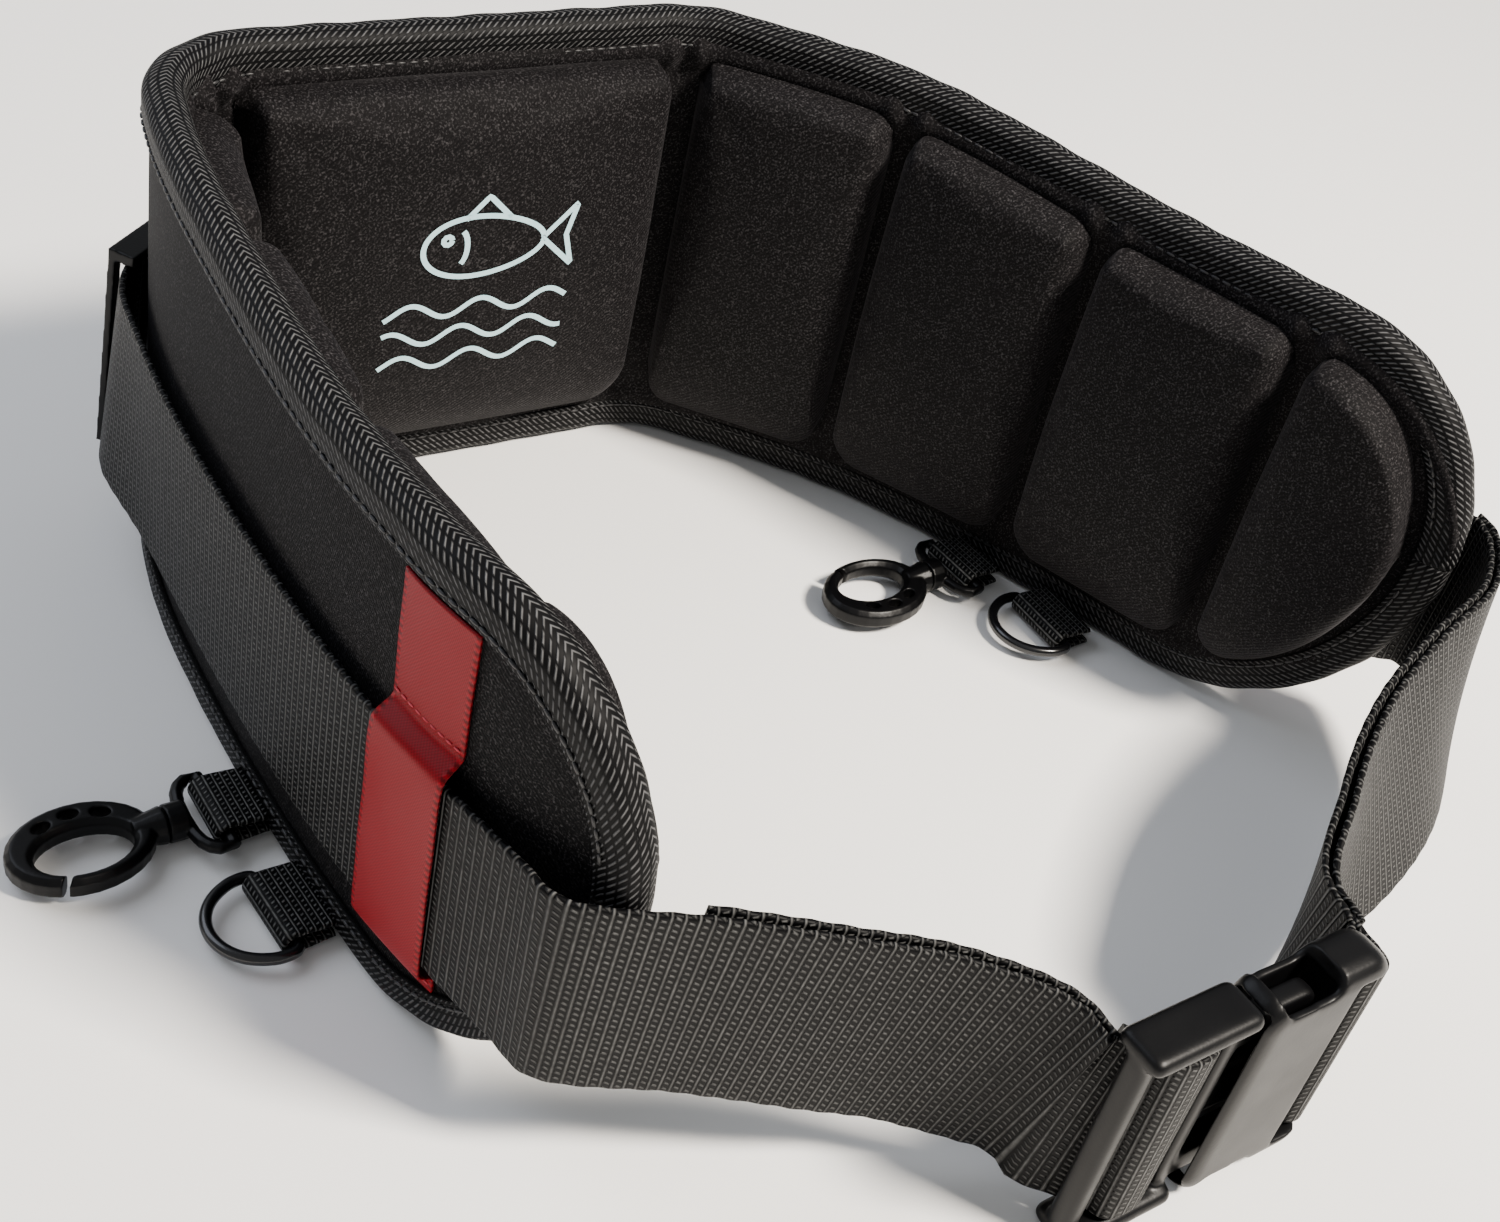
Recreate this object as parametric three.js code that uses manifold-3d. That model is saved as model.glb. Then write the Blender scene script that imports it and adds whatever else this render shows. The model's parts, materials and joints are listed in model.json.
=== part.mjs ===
// Fishing fighting belt: a padded waist panel with bound edges, a webbing strap that
// runs round its back and closes in front with a side-release buckle, a red keeper on
// each arm, and a swivel snap hook and a D-ring hanging from the lower edge of each arm.
//
// Units are millimetres, +Z is up and the buckle is at the front, toward -Y. Left and
// right are as seen from the front. The belt stands on its lower edge at z = 0, and the
// origin is the middle of its footprint.
import * as THREE from 'three';
import { mergeVertices } from 'three/addons/utils/BufferGeometryUtils.js';
import Module from 'manifold-3d';

const wasm = await Module();
wasm.setup();

// Driving dimensions
const CLEARANCE = 0.3;          // kept between pieces that touch

const CENTRE_BACK = { x: -58, y: 95 };
const HALF_LENGTH = 305;        // from the centre back to the tip of each arm
const BACK_HEIGHT = 130;
const DROP_START = 0.36;        // shares of the half length between which the height drops
const DROP_END = 0.72;
const ARM_HEIGHT = 122;         // where the rounded end starts
const NOSE_LOW = 64;            // length of each arm's rounded end along its lower edge
const NOSE_HIGH = 46;           // and along its upper edge
const TIP_HEIGHT = 70;          // of the tip of each arm
const PANEL_THICKNESS = 6;

const BINDING_WIDTH = 10;
const BINDING_WALL = 1.4;
const BINDING_SEAT = 1.8;       // tape thickness across the panel's edge

const PAD_RISE = 15;
const PAD_MARGIN = 13;          // from the panel's edge to a pad
const PAD_CORNER = 13;
const BACK_PAD_LENGTH = 114;
const BACK_PAD_GAP = 17;
const ARM_PAD_GAP = 8;
const ARM_PAD_LENGTHS = [54, 53, 52];
const END_RIM = 12;             // from the tip of the arm to the end pad

const WEBBING_WIDTH = 50;
const WEBBING_THICKNESS = 1.6;
const STRAP_HEIGHT = 50;        // centre of the webbing along the panel
const STRAP_STANDOFF = 0.6;     // between the webbing and the faces of the binding
const CORNER_BULGE = 6.5;       // extra stand-off where the strap rounds the back corners
const CORNER_LEAN = 6;          // degrees that the strap's top edge leans inward at the left corner
const LEFT_TAIL = 88;
const RIGHT_TAIL = 150;
const LAYER_GAP = 0.9;          // between two layers of webbing
const LEFT_TIP_STANDOFF = 5;    // how far the left strap stands off where it leaves the arm
const RIGHT_TIP_STANDOFF = 12;  // how far the right strap swings out round the arm's tip
const LEFT_LEAVE = 12;          // from the left arm's tip to where the strap leaves it
const RIGHT_LEAN = 25;          // degrees that the right strap's top edge leans inward

const KEEPER_PLACE = 252;       // along each arm from the centre back
const KEEPER_WIDTH = 22;
const KEEPER_THICKNESS = 0.7;
const KEEPER_SLACK = 1;         // between the strap and the keeper over it

const BUCKLE = { x: -10, y: -189, turn: 2 };
const BUCKLE_HEIGHT = 61;
const BUCKLE_LENGTH = 68;
const MALE_LENGTH = 30;         // of the frame that shows outside the socket
const MALE_THICKNESS = 6;
const MALE_CORNER = 5;
const MALE_SOFT = 1.2;          // rounding of the male frame's edges
const RAIL_DEPTH = 12;          // of the rails above and below the webbing
const RAIL_SOFT = 1.8;
const SOCKET_THICKNESS = 13;
const SOCKET_CORNER = 7;
const SOCKET_SOFT = 4;
const SOCKET_WALL = 2;
const WINDOW_START = 5;         // from the socket's mouth to the side windows
const PRONG_WIDTH = 9;
const PRONG_LENGTH = 20;
const PRONG_SOFT = 0.8;
const PRONG_ROOT = 3;           // how far the prongs and the tongue reach into the frame
const PRONG_INSET = 3;          // from the socket's wall to a prong
const POCKET_SLACK = 2;         // between a prong's tip and the end of its pocket
const TONGUE_WIDTH = 12;
const TONGUE_THICKNESS = 3;
const TONGUE_SHARE = 0.6;       // of the prongs' length
const END_BAR = 4.5;
const CENTRE_BAR = 7.6;
const SLOT_WIDTH = 6.4;
const SLOT_SLACK = 1;           // between the end of a slot and the webbing's edge

const SLIDE_PLACE = 74;         // on the left arm, from the centre back
const SLIDE_LENGTH = 19;
const SLIDE_BAR = 3;
const SLIDE_THICKNESS = 2;
const SLIDE_SLACK = 0.7;        // between the slide and the strap through it

const HOOK_PLACE = 190;
const RING_PLACE = 221;
const RIGHT_SKEW = 20;          // degrees that the right hook and ring lie off square
const TAB_THICKNESS = 1.5;
const TAB_REACH = 9;            // from the binding to the bar that the tab holds
const HOOK_TAB_WIDTH = 17;
const RING_TAB_WIDTH = 20;

const RING_WIRE = 2.8;
const RING_WIDTH = 27;
const RING_DEPTH = 16;

const EYE_WIRE = 3.2;
const EYE_WIDTH = 26;
const EYE_DEPTH = 8.5;
const BARREL_RADIUS = 4.5;
const BARREL_LENGTH = 4.5;
const COLLAR_LENGTH = 4;
const HOOK_LENGTH = 32;
const HOOK_WIDTH = 24;
const HOOK_THICKNESS = 5.6;
const HOOK_RIM = 5.4;
const HOOK_SOFT = 1.3;          // rounding of the hook's edges
const COLLAR_ROOT = 3;          // how far the collar reaches into the hook
const HOOK_LAP = 2;             // how far the hook's ring reaches over its collar
const SPINE_EXTRA = 2;          // by which the opening lies nearer to the gate's side
const HOLE_RADIUS = 1.5;
const HOLE_STRETCH = 1.5;       // length of an oval hole to its width
const HOLE_PITCH = 6.4;
const HOLE_INSET = 3.9;         // from the spine's outer edge to the middle hole
const HOLE_DROP = 1.7;          // by which the outer two follow the spine's curve
const HOLE_TURN = 24;           // degrees
const GATE_GAP = 1.4;
const GATE_TURN = 40;           // degrees
const GATE_PLACE = 5.8;         // from the hook's middle to the gap at the gate's tip

// Plan of each arm: share of the half length, and how far the arm turns toward the
// front over that share, in degrees.
const RIGHT_PLAN = [
  { share: 0.186, turn: 0 },
  { share: 0.084, turn: 45 },
  { share: 0.129, turn: 5 },
  { share: 0.096, turn: 10 },
  { share: 0.199, turn: 8 },
  { share: 0.135, turn: 4 },
  { share: 0.171, turn: -14 },
];
const LEFT_PLAN = [
  { share: 0.167, turn: 0 },
  { share: 0.144, turn: 77 },
  { share: 0.138, turn: 11 },
  { share: 0.217, turn: 5 },
  { share: 0.124, turn: 4 },
  { share: 0.21, turn: 26 },
];

// Free runs of the strap from the arms to the buckle, in shares of the run: how far along
// it, and how far from the straight line between its ends toward the wearer.
const LEFT_RUN = [
  { share: 0.28, inward: 0.02 },
  { share: 0.5, inward: 0.045 },
  { share: 0.72, inward: 0.075 },
  { share: 0.92, inward: 0.06 },
];
const RIGHT_RUN = [
  { share: 0.16, inward: -0.066 },
  { share: 0.34, inward: -0.052 },
  { share: 0.56, inward: -0.014 },
  { share: 0.76, inward: 0.024 },
  { share: 0.92, inward: 0.045 },
];
const RUN_DROP = 1.7;           // power of the share by which a run comes down to the buckle

const fabric = { color: 0x17161a, roughness: 0.82, metalness: 0 };
const looks = {
  panel: fabric,
  pad: { color: 0x1b1a1e, roughness: 0.7, metalness: 0 },
  binding: { color: 0x202024, roughness: 0.6, metalness: 0 },
  webbing: { color: 0x1c1c1f, roughness: 0.65, metalness: 0 },
  ribbon: { color: 0xb81e2c, roughness: 0.4, metalness: 0 },
  plastic: { color: 0x141416, roughness: 0.35, metalness: 0 },
  wire: { color: 0x101012, roughness: 0.3, metalness: 0.6 },
};

const belt = new THREE.Group();
const radians = THREE.MathUtils.degToRad;
const UP = new THREE.Vector3(0, 0, 1);

// Geometry helpers

function fromTriangles(points, triangles) {
  const geometry = new THREE.BufferGeometry();
  const numbers = points.flatMap((p) => [p.x, p.y, p.z]);
  geometry.setAttribute('position', new THREE.Float32BufferAttribute(numbers, 3));
  geometry.setIndex(triangles.flat());
  return geometry;
}

/** Closed solid through rings of points; a ring is ordered to the left of the way the rings run. */
function loft(rings, section = null) {
  const count = rings[0].length;
  const triangles = [];
  const at = (i, j) => i * count + (j % count);
  for (let i = 0; i + 1 < rings.length; i += 1) {
    for (let j = 0; j < count; j += 1) {
      triangles.push([at(i, j), at(i, j + 1), at(i + 1, j + 1)], [at(i, j), at(i + 1, j + 1), at(i + 1, j)]);
    }
  }
  const flat = section ?? [...Array(count).keys()].map((j) => {
    const angle = (2 * Math.PI * j) / count;
    return new THREE.Vector2(Math.cos(angle), Math.sin(angle));
  });
  const way = Math.sign(THREE.ShapeUtils.area(flat));
  for (const face of THREE.ShapeUtils.triangulateShape(flat, [])) {
    const turned = Math.sign(THREE.ShapeUtils.area(face.map((k) => flat[k]))) === way;
    const [a, b, c] = turned ? face : [face[0], face[2], face[1]];
    triangles.push([a, c, b], [at(rings.length - 1, a), at(rings.length - 1, b), at(rings.length - 1, c)]);
  }
  return outward(fromTriangles(rings.flat(), triangles));
}

/** The same surface with its faces turned so that they point out. */
function outward(geometry) {
  const position = geometry.getAttribute('position');
  const index = geometry.getIndex();
  const corner = [0, 1, 2].map(() => new THREE.Vector3());
  let volume = 0;
  for (let i = 0; i < index.count; i += 3) {
    corner.forEach((v, k) => v.fromBufferAttribute(position, index.getX(i + k)));
    volume += corner[0].dot(corner[1].clone().cross(corner[2]));
  }
  if (volume < 0) {
    for (let i = 0; i < index.count; i += 3) {
      const swap = index.getX(i);
      index.setX(i, index.getX(i + 1));
      index.setX(i + 1, swap);
    }
  }
  return geometry;
}

/** Merges equal points and leaves out triangles that have no area. */
function weld(geometry) {
  geometry.deleteAttribute('normal');
  geometry.deleteAttribute('uv');
  const merged = mergeVertices(geometry, 1e-3);
  const index = merged.getIndex().array;
  const kept = [];
  for (let i = 0; i < index.length; i += 3) {
    const [a, b, c] = [index[i], index[i + 1], index[i + 2]];
    if (a !== b && b !== c && a !== c) kept.push(a, b, c);
  }
  merged.setIndex(kept);
  return merged;
}

function toSolid(geometry) {
  const merged = weld(geometry.clone());
  return new wasm.Manifold(new wasm.Mesh({
    numProp: 3,
    vertProperties: Float32Array.from(merged.getAttribute('position').array),
    triVerts: Uint32Array.from(merged.getIndex().array),
  }));
}

function toGeometry(solid) {
  const { vertProperties, triVerts } = solid.getMesh();
  const geometry = new THREE.BufferGeometry();
  geometry.setAttribute('position', new THREE.BufferAttribute(vertProperties, 3));
  geometry.setIndex(new THREE.BufferAttribute(triVerts, 1));
  return geometry;
}

function join(...pieces) {
  return toGeometry(pieces.map(toSolid).reduce((whole, piece) => whole.add(piece)));
}

function cut(body, ...tools) {
  return toGeometry(tools.map(toSolid).reduce((whole, tool) => whole.subtract(tool), toSolid(body)));
}

function add(name, geometry, look, group = belt) {
  const mesh = new THREE.Mesh(weld(geometry), new THREE.MeshStandardMaterial(look));
  mesh.name = name;
  group.add(mesh);
  return mesh;
}

function block(x0, x1, y0, y1, z0, z1) {
  return new THREE.BoxGeometry(x1 - x0, y1 - y0, z1 - z0)
    .translate((x0 + x1) / 2, (y0 + y1) / 2, (z0 + z1) / 2);
}

function smooth(x) {
  const t = THREE.MathUtils.clamp(x, 0, 1);
  return t * t * (3 - 2 * t);
}

// The panel's own coordinates: s runs along the outer face from the centre back,
// below zero on the left arm; depth runs from the outer face toward the wearer.

/** Point and heading at arc length s along one arm, whose turns go to the given side. */
function walkArm(plan, s, startHeading, side) {
  const last = plan.length - 1;
  let heading = startHeading;
  let left = s;
  const point = new THREE.Vector2(CENTRE_BACK.x, CENTRE_BACK.y);
  for (const [row, { share, turn }] of plan.entries()) {
    const length = share * HALF_LENGTH;
    const run = row === last ? left : Math.min(left, length);
    const bend = (side * radians(turn) * run) / length;
    const chord = Math.abs(bend) < 1e-9 ? run : (run * Math.sin(bend / 2)) / (bend / 2);
    point.x += chord * Math.cos(heading + bend / 2);
    point.y += chord * Math.sin(heading + bend / 2);
    heading += bend;
    left -= run;
    if (left <= 0) break;
  }
  return { point, heading };
}

/** Frame of the outer face at s: the point, the way s runs and the way to the wearer. */
function frameAt(s) {
  const onRight = s >= 0;
  const arm = onRight ? walkArm(RIGHT_PLAN, s, 0, -1) : walkArm(LEFT_PLAN, -s, Math.PI, 1);
  const heading = onRight ? arm.heading : arm.heading + Math.PI;
  return {
    point: new THREE.Vector3(arm.point.x, arm.point.y, 0),
    along: new THREE.Vector3(Math.cos(heading), Math.sin(heading), 0),
    inward: new THREE.Vector3(Math.sin(heading), -Math.cos(heading), 0),
  };
}

function topEdge(s) {
  const share = (Math.abs(s) / HALF_LENGTH - DROP_START) / (DROP_END - DROP_START);
  return BACK_HEIGHT - (BACK_HEIGHT - ARM_HEIGHT) * smooth(share);
}

/** Lower and upper edge of the panel at s, with the round end of each arm. */
function edgesAt(s) {
  const rounding = (nose) => {
    const past = Math.max(0, Math.abs(s) - (HALF_LENGTH - nose)) / nose;
    return 1 - Math.sqrt(Math.max(0, 1 - past ** 2));
  };
  const top = topEdge(s);
  return { s, low: TIP_HEIGHT * rounding(NOSE_LOW), high: top - (top - TIP_HEIGHT) * rounding(NOSE_HIGH) };
}

/** Outline of the panel as pairs of points on its lower and upper edge. */
function panelStations() {
  const straight = HALF_LENGTH - NOSE_LOW;
  const steps = 42;
  const nose = [10, 20, 30, 40, 50, 60, 70, 79].map(radians);
  const arm = [...Array(steps + 1).keys()].map((i) => straight * ((2 * i) / steps - 1));
  const end = nose.map((angle) => straight + NOSE_LOW * Math.sin(angle));
  return [...end.map((s) => -s).reverse(), ...arm, ...end].map(edgesAt);
}

const stations = panelStations();
const stationFrames = stations.map(({ s }) => frameAt(s));

/** Place on the belt; between two stations every face runs straight, as the panel's does. */
function onBelt(s, depth, height) {
  const place = ({ point, inward }) => point.clone().addScaledVector(inward, depth).setZ(height);
  const next = stations.findIndex((station) => station.s >= s);
  if (next < 1) return place(frameAt(s));
  const [a, b] = [stations[next - 1].s, stations[next].s];
  return place(stationFrames[next - 1]).lerp(place(stationFrames[next]), (s - a) / (b - a));
}

/** Outline points with their outward directions, along the upper or the lower edge. */
function edgeLine(upper) {
  const tip = stations[stations.length - 1].s;
  const sign = upper ? 1 : -1;
  const line = stations.map(({ s, low, high }) => new THREE.Vector2(s, upper ? high : low));
  const middle = TIP_HEIGHT + (sign * CLEARANCE) / 2;
  const points = [new THREE.Vector2(-tip, middle), ...line, new THREE.Vector2(tip, middle)];
  const side = (a, b) => new THREE.Vector2(-(b.y - a.y), b.x - a.x).normalize().multiplyScalar(sign);
  return points.map((point, i) => {
    const before = i > 0 ? side(points[i - 1], point) : new THREE.Vector2(-1, 0);
    const after = i + 1 < points.length ? side(point, points[i + 1]) : new THREE.Vector2(1, 0);
    const out = before.clone().add(after).normalize();
    return { point, out: out.multiplyScalar(1 / Math.max(0.5, out.dot(after))) };
  });
}

function inset(edge, amount) {
  return edge.point.clone().addScaledVector(edge.out, -amount);
}

function makePanel() {
  const seat = BINDING_SEAT + CLEARANCE;
  const upper = edgeLine(true).slice(1, -1).map((edge) => inset(edge, seat));
  const lower = edgeLine(false).slice(1, -1).map((edge) => inset(edge, seat));
  return loft(upper.map((high, i) => [
    onBelt(lower[i].x, 0, lower[i].y),
    onBelt(high.x, 0, high.y),
    onBelt(high.x, PANEL_THICKNESS, high.y),
    onBelt(lower[i].x, PANEL_THICKNESS, lower[i].y),
  ]));
}

/** Folded tape along one edge: a channel that the panel's edge sits in. */
function makeBinding(upper) {
  const outer = -CLEARANCE - BINDING_WALL;
  const inner = PANEL_THICKNESS + CLEARANCE + BINDING_WALL;
  const round = (inner - outer) * 0.2;
  const section = [
    [BINDING_WIDTH, outer], [round, outer], [0, outer + round], [0, inner - round], [round, inner],
    [BINDING_WIDTH, inner], [BINDING_WIDTH, PANEL_THICKNESS + CLEARANCE],
    [BINDING_SEAT, PANEL_THICKNESS + CLEARANCE], [BINDING_SEAT, -CLEARANCE], [BINDING_WIDTH, -CLEARANCE],
  ];
  const rings = edgeLine(upper).map((edge) => section.map(([amount, depth]) => {
    const { x: s, y: height } = inset(edge, amount);
    return onBelt(s, depth, height);
  }));
  return loft(rings, section.map(([amount, depth]) => new THREE.Vector2(amount, depth)));
}

// Pads: pillows on the inner face, swollen quickly at the edge and nearly flat on top.

const padSteps = 8;

function padGrid(place) {
  const points = [];
  const triangles = [];
  const size = padSteps + 1;
  for (let i = 0; i < size; i += 1) {
    for (let j = 0; j < size; j += 1) {
      const u = Math.sin((Math.PI / 2) * ((2 * i) / padSteps - 1));
      const v = Math.sin((Math.PI / 2) * ((2 * j) / padSteps - 1));
      points.push(place(u, v, 0), place(u, v, Math.sqrt((1 - u ** 4) * (1 - v ** 4))));
    }
  }
  const at = (i, j, top) => 2 * (i * size + j) + top;
  for (let i = 0; i < padSteps; i += 1) {
    for (let j = 0; j < padSteps; j += 1) {
      for (const top of [0, 1]) {
        const square = [at(i, j, top), at(i + 1, j, top), at(i + 1, j + 1, top), at(i, j + 1, top)];
        if (top) square.reverse();
        triangles.push([square[0], square[1], square[2]], [square[0], square[2], square[3]]);
      }
    }
  }
  return outward(weld(fromTriangles(points, triangles)));
}

function padPoint(s, height, swell) {
  return onBelt(s, PANEL_THICKNESS + CLEARANCE + PAD_RISE * swell, height);
}

/** Pad between two places along the panel, with rounded corners. */
function makePad(from, to) {
  const middle = (from + to) / 2;
  const half = (to - from) / 2;
  return padGrid((u, v, swell) => {
    const s = middle + half * u;
    const past = Math.max(0, Math.abs(half * u) - (half - PAD_CORNER));
    const corner = PAD_CORNER - Math.sqrt(Math.max(0, PAD_CORNER ** 2 - past ** 2));
    const tall = topEdge(s) / 2 - PAD_MARGIN - corner;
    return padPoint(s, topEdge(s) / 2 + tall * v, swell);
  });
}

/** D-shaped pad at the end of an arm: its round side keeps inside the arm's own end. */
function makeEndPad(from, side) {
  const to = HALF_LENGTH - END_RIM;
  return padGrid((u, v, swell) => {
    const s = from + ((to - from) * (side * u + 1)) / 2;
    const near = Math.max(0, from + PAD_CORNER - s);
    const corner = PAD_CORNER - Math.sqrt(Math.max(0, PAD_CORNER ** 2 - near ** 2));
    const toTip = ((s - from) / (to - from)) ** 2;
    const { low, high } = edgesAt(s + END_RIM * toTip);
    const half = (high - low) / 2 - PAD_MARGIN - corner;
    return padPoint(side * s, (high + low) / 2 + Math.max(1, half) * v, swell);
  });
}

// Webbing: flat ribbons through stations that hold a centre and the width's direction.

function ribbon(line, width, thickness) {
  const rings = line.map(({ centre, across }, i) => {
    const before = line[Math.max(0, i - 1)].centre;
    const after = line[Math.min(line.length - 1, i + 1)].centre;
    const along = after.clone().sub(before).normalize();
    const wide = across.clone().addScaledVector(along, -across.dot(along)).normalize();
    const thick = along.cross(wide);
    return [[-1, -1], [1, -1], [1, 1], [-1, 1]].map(([a, b]) => centre.clone()
      .addScaledVector(wide, (a * width) / 2)
      .addScaledVector(thick, (b * thickness) / 2));
  });
  return loft(rings);
}

function strapDepth(s) {
  const corner = 0.25 * HALF_LENGTH;
  const spread = 0.1 * HALF_LENGTH;
  const bulge = CORNER_BULGE * Math.exp(-(((Math.abs(s) - corner) / spread) ** 2));
  return -(CLEARANCE + BINDING_WALL + STRAP_STANDOFF + WEBBING_THICKNESS / 2 + bulge);
}

/** Lean of the strap's top edge toward the wearer, in radians: only at the left corner. */
function strapLean(s) {
  const corner = -0.29 * HALF_LENGTH;
  const spread = 0.08 * HALF_LENGTH;
  return radians(CORNER_LEAN) * Math.exp(-(((s - corner) / spread) ** 2));
}

function makeBackStrap() {
  const end = KEEPER_PLACE - CLEARANCE / 2;
  const steps = 60;
  const line = [...Array(steps + 1).keys()].map((i) => {
    const s = end * ((2 * i) / steps - 1);
    const across = UP.clone().applyAxisAngle(frameAt(s).along, strapLean(s));
    return { centre: onBelt(s, strapDepth(s), STRAP_HEIGHT), across };
  });
  return ribbon(line, WEBBING_WIDTH, WEBBING_THICKNESS);
}

/** Red tape from the upper to the lower binding, over the strap. */
function makeKeeper(side) {
  const s = side * KEEPER_PLACE;
  const halfStrap = WEBBING_WIDTH / 2;
  const overStrap = strapDepth(s) - WEBBING_THICKNESS / 2 - KEEPER_SLACK - KEEPER_THICKNESS / 2;
  const onPanel = -CLEARANCE - KEEPER_THICKNESS / 2;
  const outline = edgesAt(KEEPER_PLACE + KEEPER_WIDTH / 2);
  const edge = BINDING_WIDTH + 4 * CLEARANCE;
  const step = 5;
  const rows = [
    [onPanel, outline.low + edge],
    [onPanel, STRAP_HEIGHT - halfStrap - step],
    [overStrap, STRAP_HEIGHT - halfStrap - KEEPER_SLACK - KEEPER_THICKNESS],
    [overStrap, STRAP_HEIGHT + halfStrap + KEEPER_SLACK + KEEPER_THICKNESS],
    [onPanel, STRAP_HEIGHT + halfStrap + step],
    [onPanel, outline.high - edge],
  ];
  const across = frameAt(s).along;
  return ribbon(rows.map(([depth, height]) => ({ centre: onBelt(s, depth, height), across })),
    KEEPER_WIDTH, KEEPER_THICKNESS);
}

// Buckle: its own axes run along it from the male frame to the socket, in toward the
// wearer, and up. It stands on its lower edge.

const buckleCentre = new THREE.Vector3(BUCKLE.x, BUCKLE.y, BUCKLE_HEIGHT / 2 + CLEARANCE);
const buckleTurn = radians(BUCKLE.turn);
const maleEnd = -BUCKLE_LENGTH / 2;
const socketStart = maleEnd + MALE_LENGTH;
const socketEnd = BUCKLE_LENGTH / 2;

function fromBuckle(x, y, z = 0) {
  return new THREE.Vector3(x, y, z).applyAxisAngle(UP, buckleTurn).add(buckleCentre);
}

function placeOnBuckle(mesh) {
  mesh.position.copy(buckleCentre);
  mesh.rotation.z = buckleTurn;
}

/** Shape drawn out along z from 0 to a length, with softened ends. */
function drawnOut(shape, length, soft, steps, curveSegments = 4) {
  const depth = length - 2 * soft;
  const bevel = { bevelThickness: soft, bevelSize: soft, bevelOffset: -soft, bevelSegments: steps };
  return new THREE.ExtrudeGeometry(shape, { depth, ...bevel, curveSegments }).translate(0, 0, soft);
}

/** Plate in the plane of the buckle from a shape, with softened edges. */
function plate(shape, thickness, soft, steps = 1) {
  return drawnOut(shape, thickness, soft, steps).translate(0, 0, -thickness / 2).rotateX(Math.PI / 2);
}

/** Rounded bar along the buckle between two places and two heights. */
function rail(x0, x1, z0, z1) {
  const section = roundedRectangle(-RAIL_DEPTH / 2, RAIL_DEPTH / 2, z0, z1, (z1 - z0) / 2);
  return drawnOut(section, x1 - x0, RAIL_SOFT, 2)
    .translate(0, 0, x0)
    .rotateX(Math.PI / 2)
    .rotateZ(Math.PI / 2);
}

function roundedRectangle(x0, x1, z0, z1, r) {
  const shape = new THREE.Shape();
  shape.moveTo(x0 + r, z0);
  shape.lineTo(x1 - r, z0).absarc(x1 - r, z0 + r, r, -Math.PI / 2, 0);
  shape.lineTo(x1, z1 - r).absarc(x1 - r, z1 - r, r, 0, Math.PI / 2);
  shape.lineTo(x0 + r, z1).absarc(x0 + r, z1 - r, r, Math.PI / 2, Math.PI);
  shape.lineTo(x0, z0 + r).absarc(x0 + r, z0 + r, r, Math.PI, 1.5 * Math.PI);
  return shape;
}

const buckleHalf = BUCKLE_HEIGHT / 2;
const slotHalf = WEBBING_WIDTH / 2 + SLOT_SLACK;

function makeMale() {
  const mouth = socketStart - CLEARANCE;
  const firstSlot = maleEnd + END_BAR;
  const secondSlot = firstSlot + SLOT_WIDTH + CENTRE_BAR;
  const frame = plate(roundedRectangle(maleEnd, mouth, -buckleHalf, buckleHalf, MALE_CORNER), MALE_THICKNESS,
    MALE_SOFT);
  const rails = [rail(maleEnd, mouth, slotHalf, buckleHalf), rail(maleEnd, mouth, -buckleHalf, -slotHalf)];
  const slots = [firstSlot, secondSlot]
    .map((x) => block(x, x + SLOT_WIDTH, -MALE_THICKNESS, MALE_THICKNESS, -slotHalf, slotHalf));
  const root = socketStart - PRONG_ROOT;
  const prongs = [-1, 1].map((side) => {
    const z = side * (buckleHalf - SOCKET_WALL - PRONG_INSET - PRONG_WIDTH / 2);
    return plate(roundedRectangle(root, socketStart + PRONG_LENGTH, z - PRONG_WIDTH / 2, z + PRONG_WIDTH / 2,
      PRONG_WIDTH * 0.45), MALE_THICKNESS - 2 * CLEARANCE, PRONG_SOFT);
  });
  const tongue = block(root, socketStart + PRONG_LENGTH * TONGUE_SHARE, -TONGUE_THICKNESS / 2,
    TONGUE_THICKNESS / 2, -TONGUE_WIDTH / 2, TONGUE_WIDTH / 2);
  return cut(join(frame, ...rails, ...prongs, tongue), ...slots);
}

function makeSocket() {
  const shape = roundedRectangle(socketStart, socketEnd, -buckleHalf, buckleHalf, SOCKET_CORNER);
  const body = plate(shape, SOCKET_THICKNESS, SOCKET_SOFT, 3);
  const hollow = SOCKET_THICKNESS / 2 - SOCKET_WALL;
  const inside = buckleHalf - SOCKET_WALL - 1;
  const pocketEnd = socketStart + PRONG_LENGTH + POCKET_SLACK;
  const mouth = block(socketStart - SOCKET_CORNER, pocketEnd, -hollow, hollow, -inside, inside);
  const deep = SOCKET_THICKNESS;
  const windows = [-1, 1].map((side) => {
    const z = side * buckleHalf;
    const [low, high] = [z - PRONG_WIDTH / 2, z + PRONG_WIDTH / 2];
    const outline = roundedRectangle(socketStart + WINDOW_START, pocketEnd, low, high, PRONG_WIDTH * 0.45);
    return plate(outline, 2 * deep, CLEARANCE);
  });
  const slotEnd = socketEnd - END_BAR;
  const strapSlot = block(slotEnd - SLOT_WIDTH, slotEnd, -deep, deep, -slotHalf, slotHalf);
  const trim = SOCKET_THICKNESS / 2 - END_BAR / 2;
  const trims = [-1, 1].map((side) => {
    const y = side * (SOCKET_THICKNESS / 2);
    return block(slotEnd - SLOT_WIDTH, socketEnd + END_BAR, y - trim, y + trim, -slotHalf, slotHalf);
  });
  return cut(body, mouth, ...windows, strapSlot, ...trims);
}

/** Stations along the buckle's own x and y, at mid height. */
function threaded(points) {
  return points.map(([x, y]) => fromBuckle(x, y));
}

/** Copy of a line of points moved sideways in plan, in toward the wearer for a positive amount. */
function besideLine(points, amount) {
  return points.map((point, i) => {
    const before = points[Math.max(0, i - 1)];
    const after = points[Math.min(points.length - 1, i + 1)];
    const along = after.clone().sub(before).setZ(0).normalize();
    return point.clone().addScaledVector(new THREE.Vector3(-along.y, along.x, 0), amount);
  });
}

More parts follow.
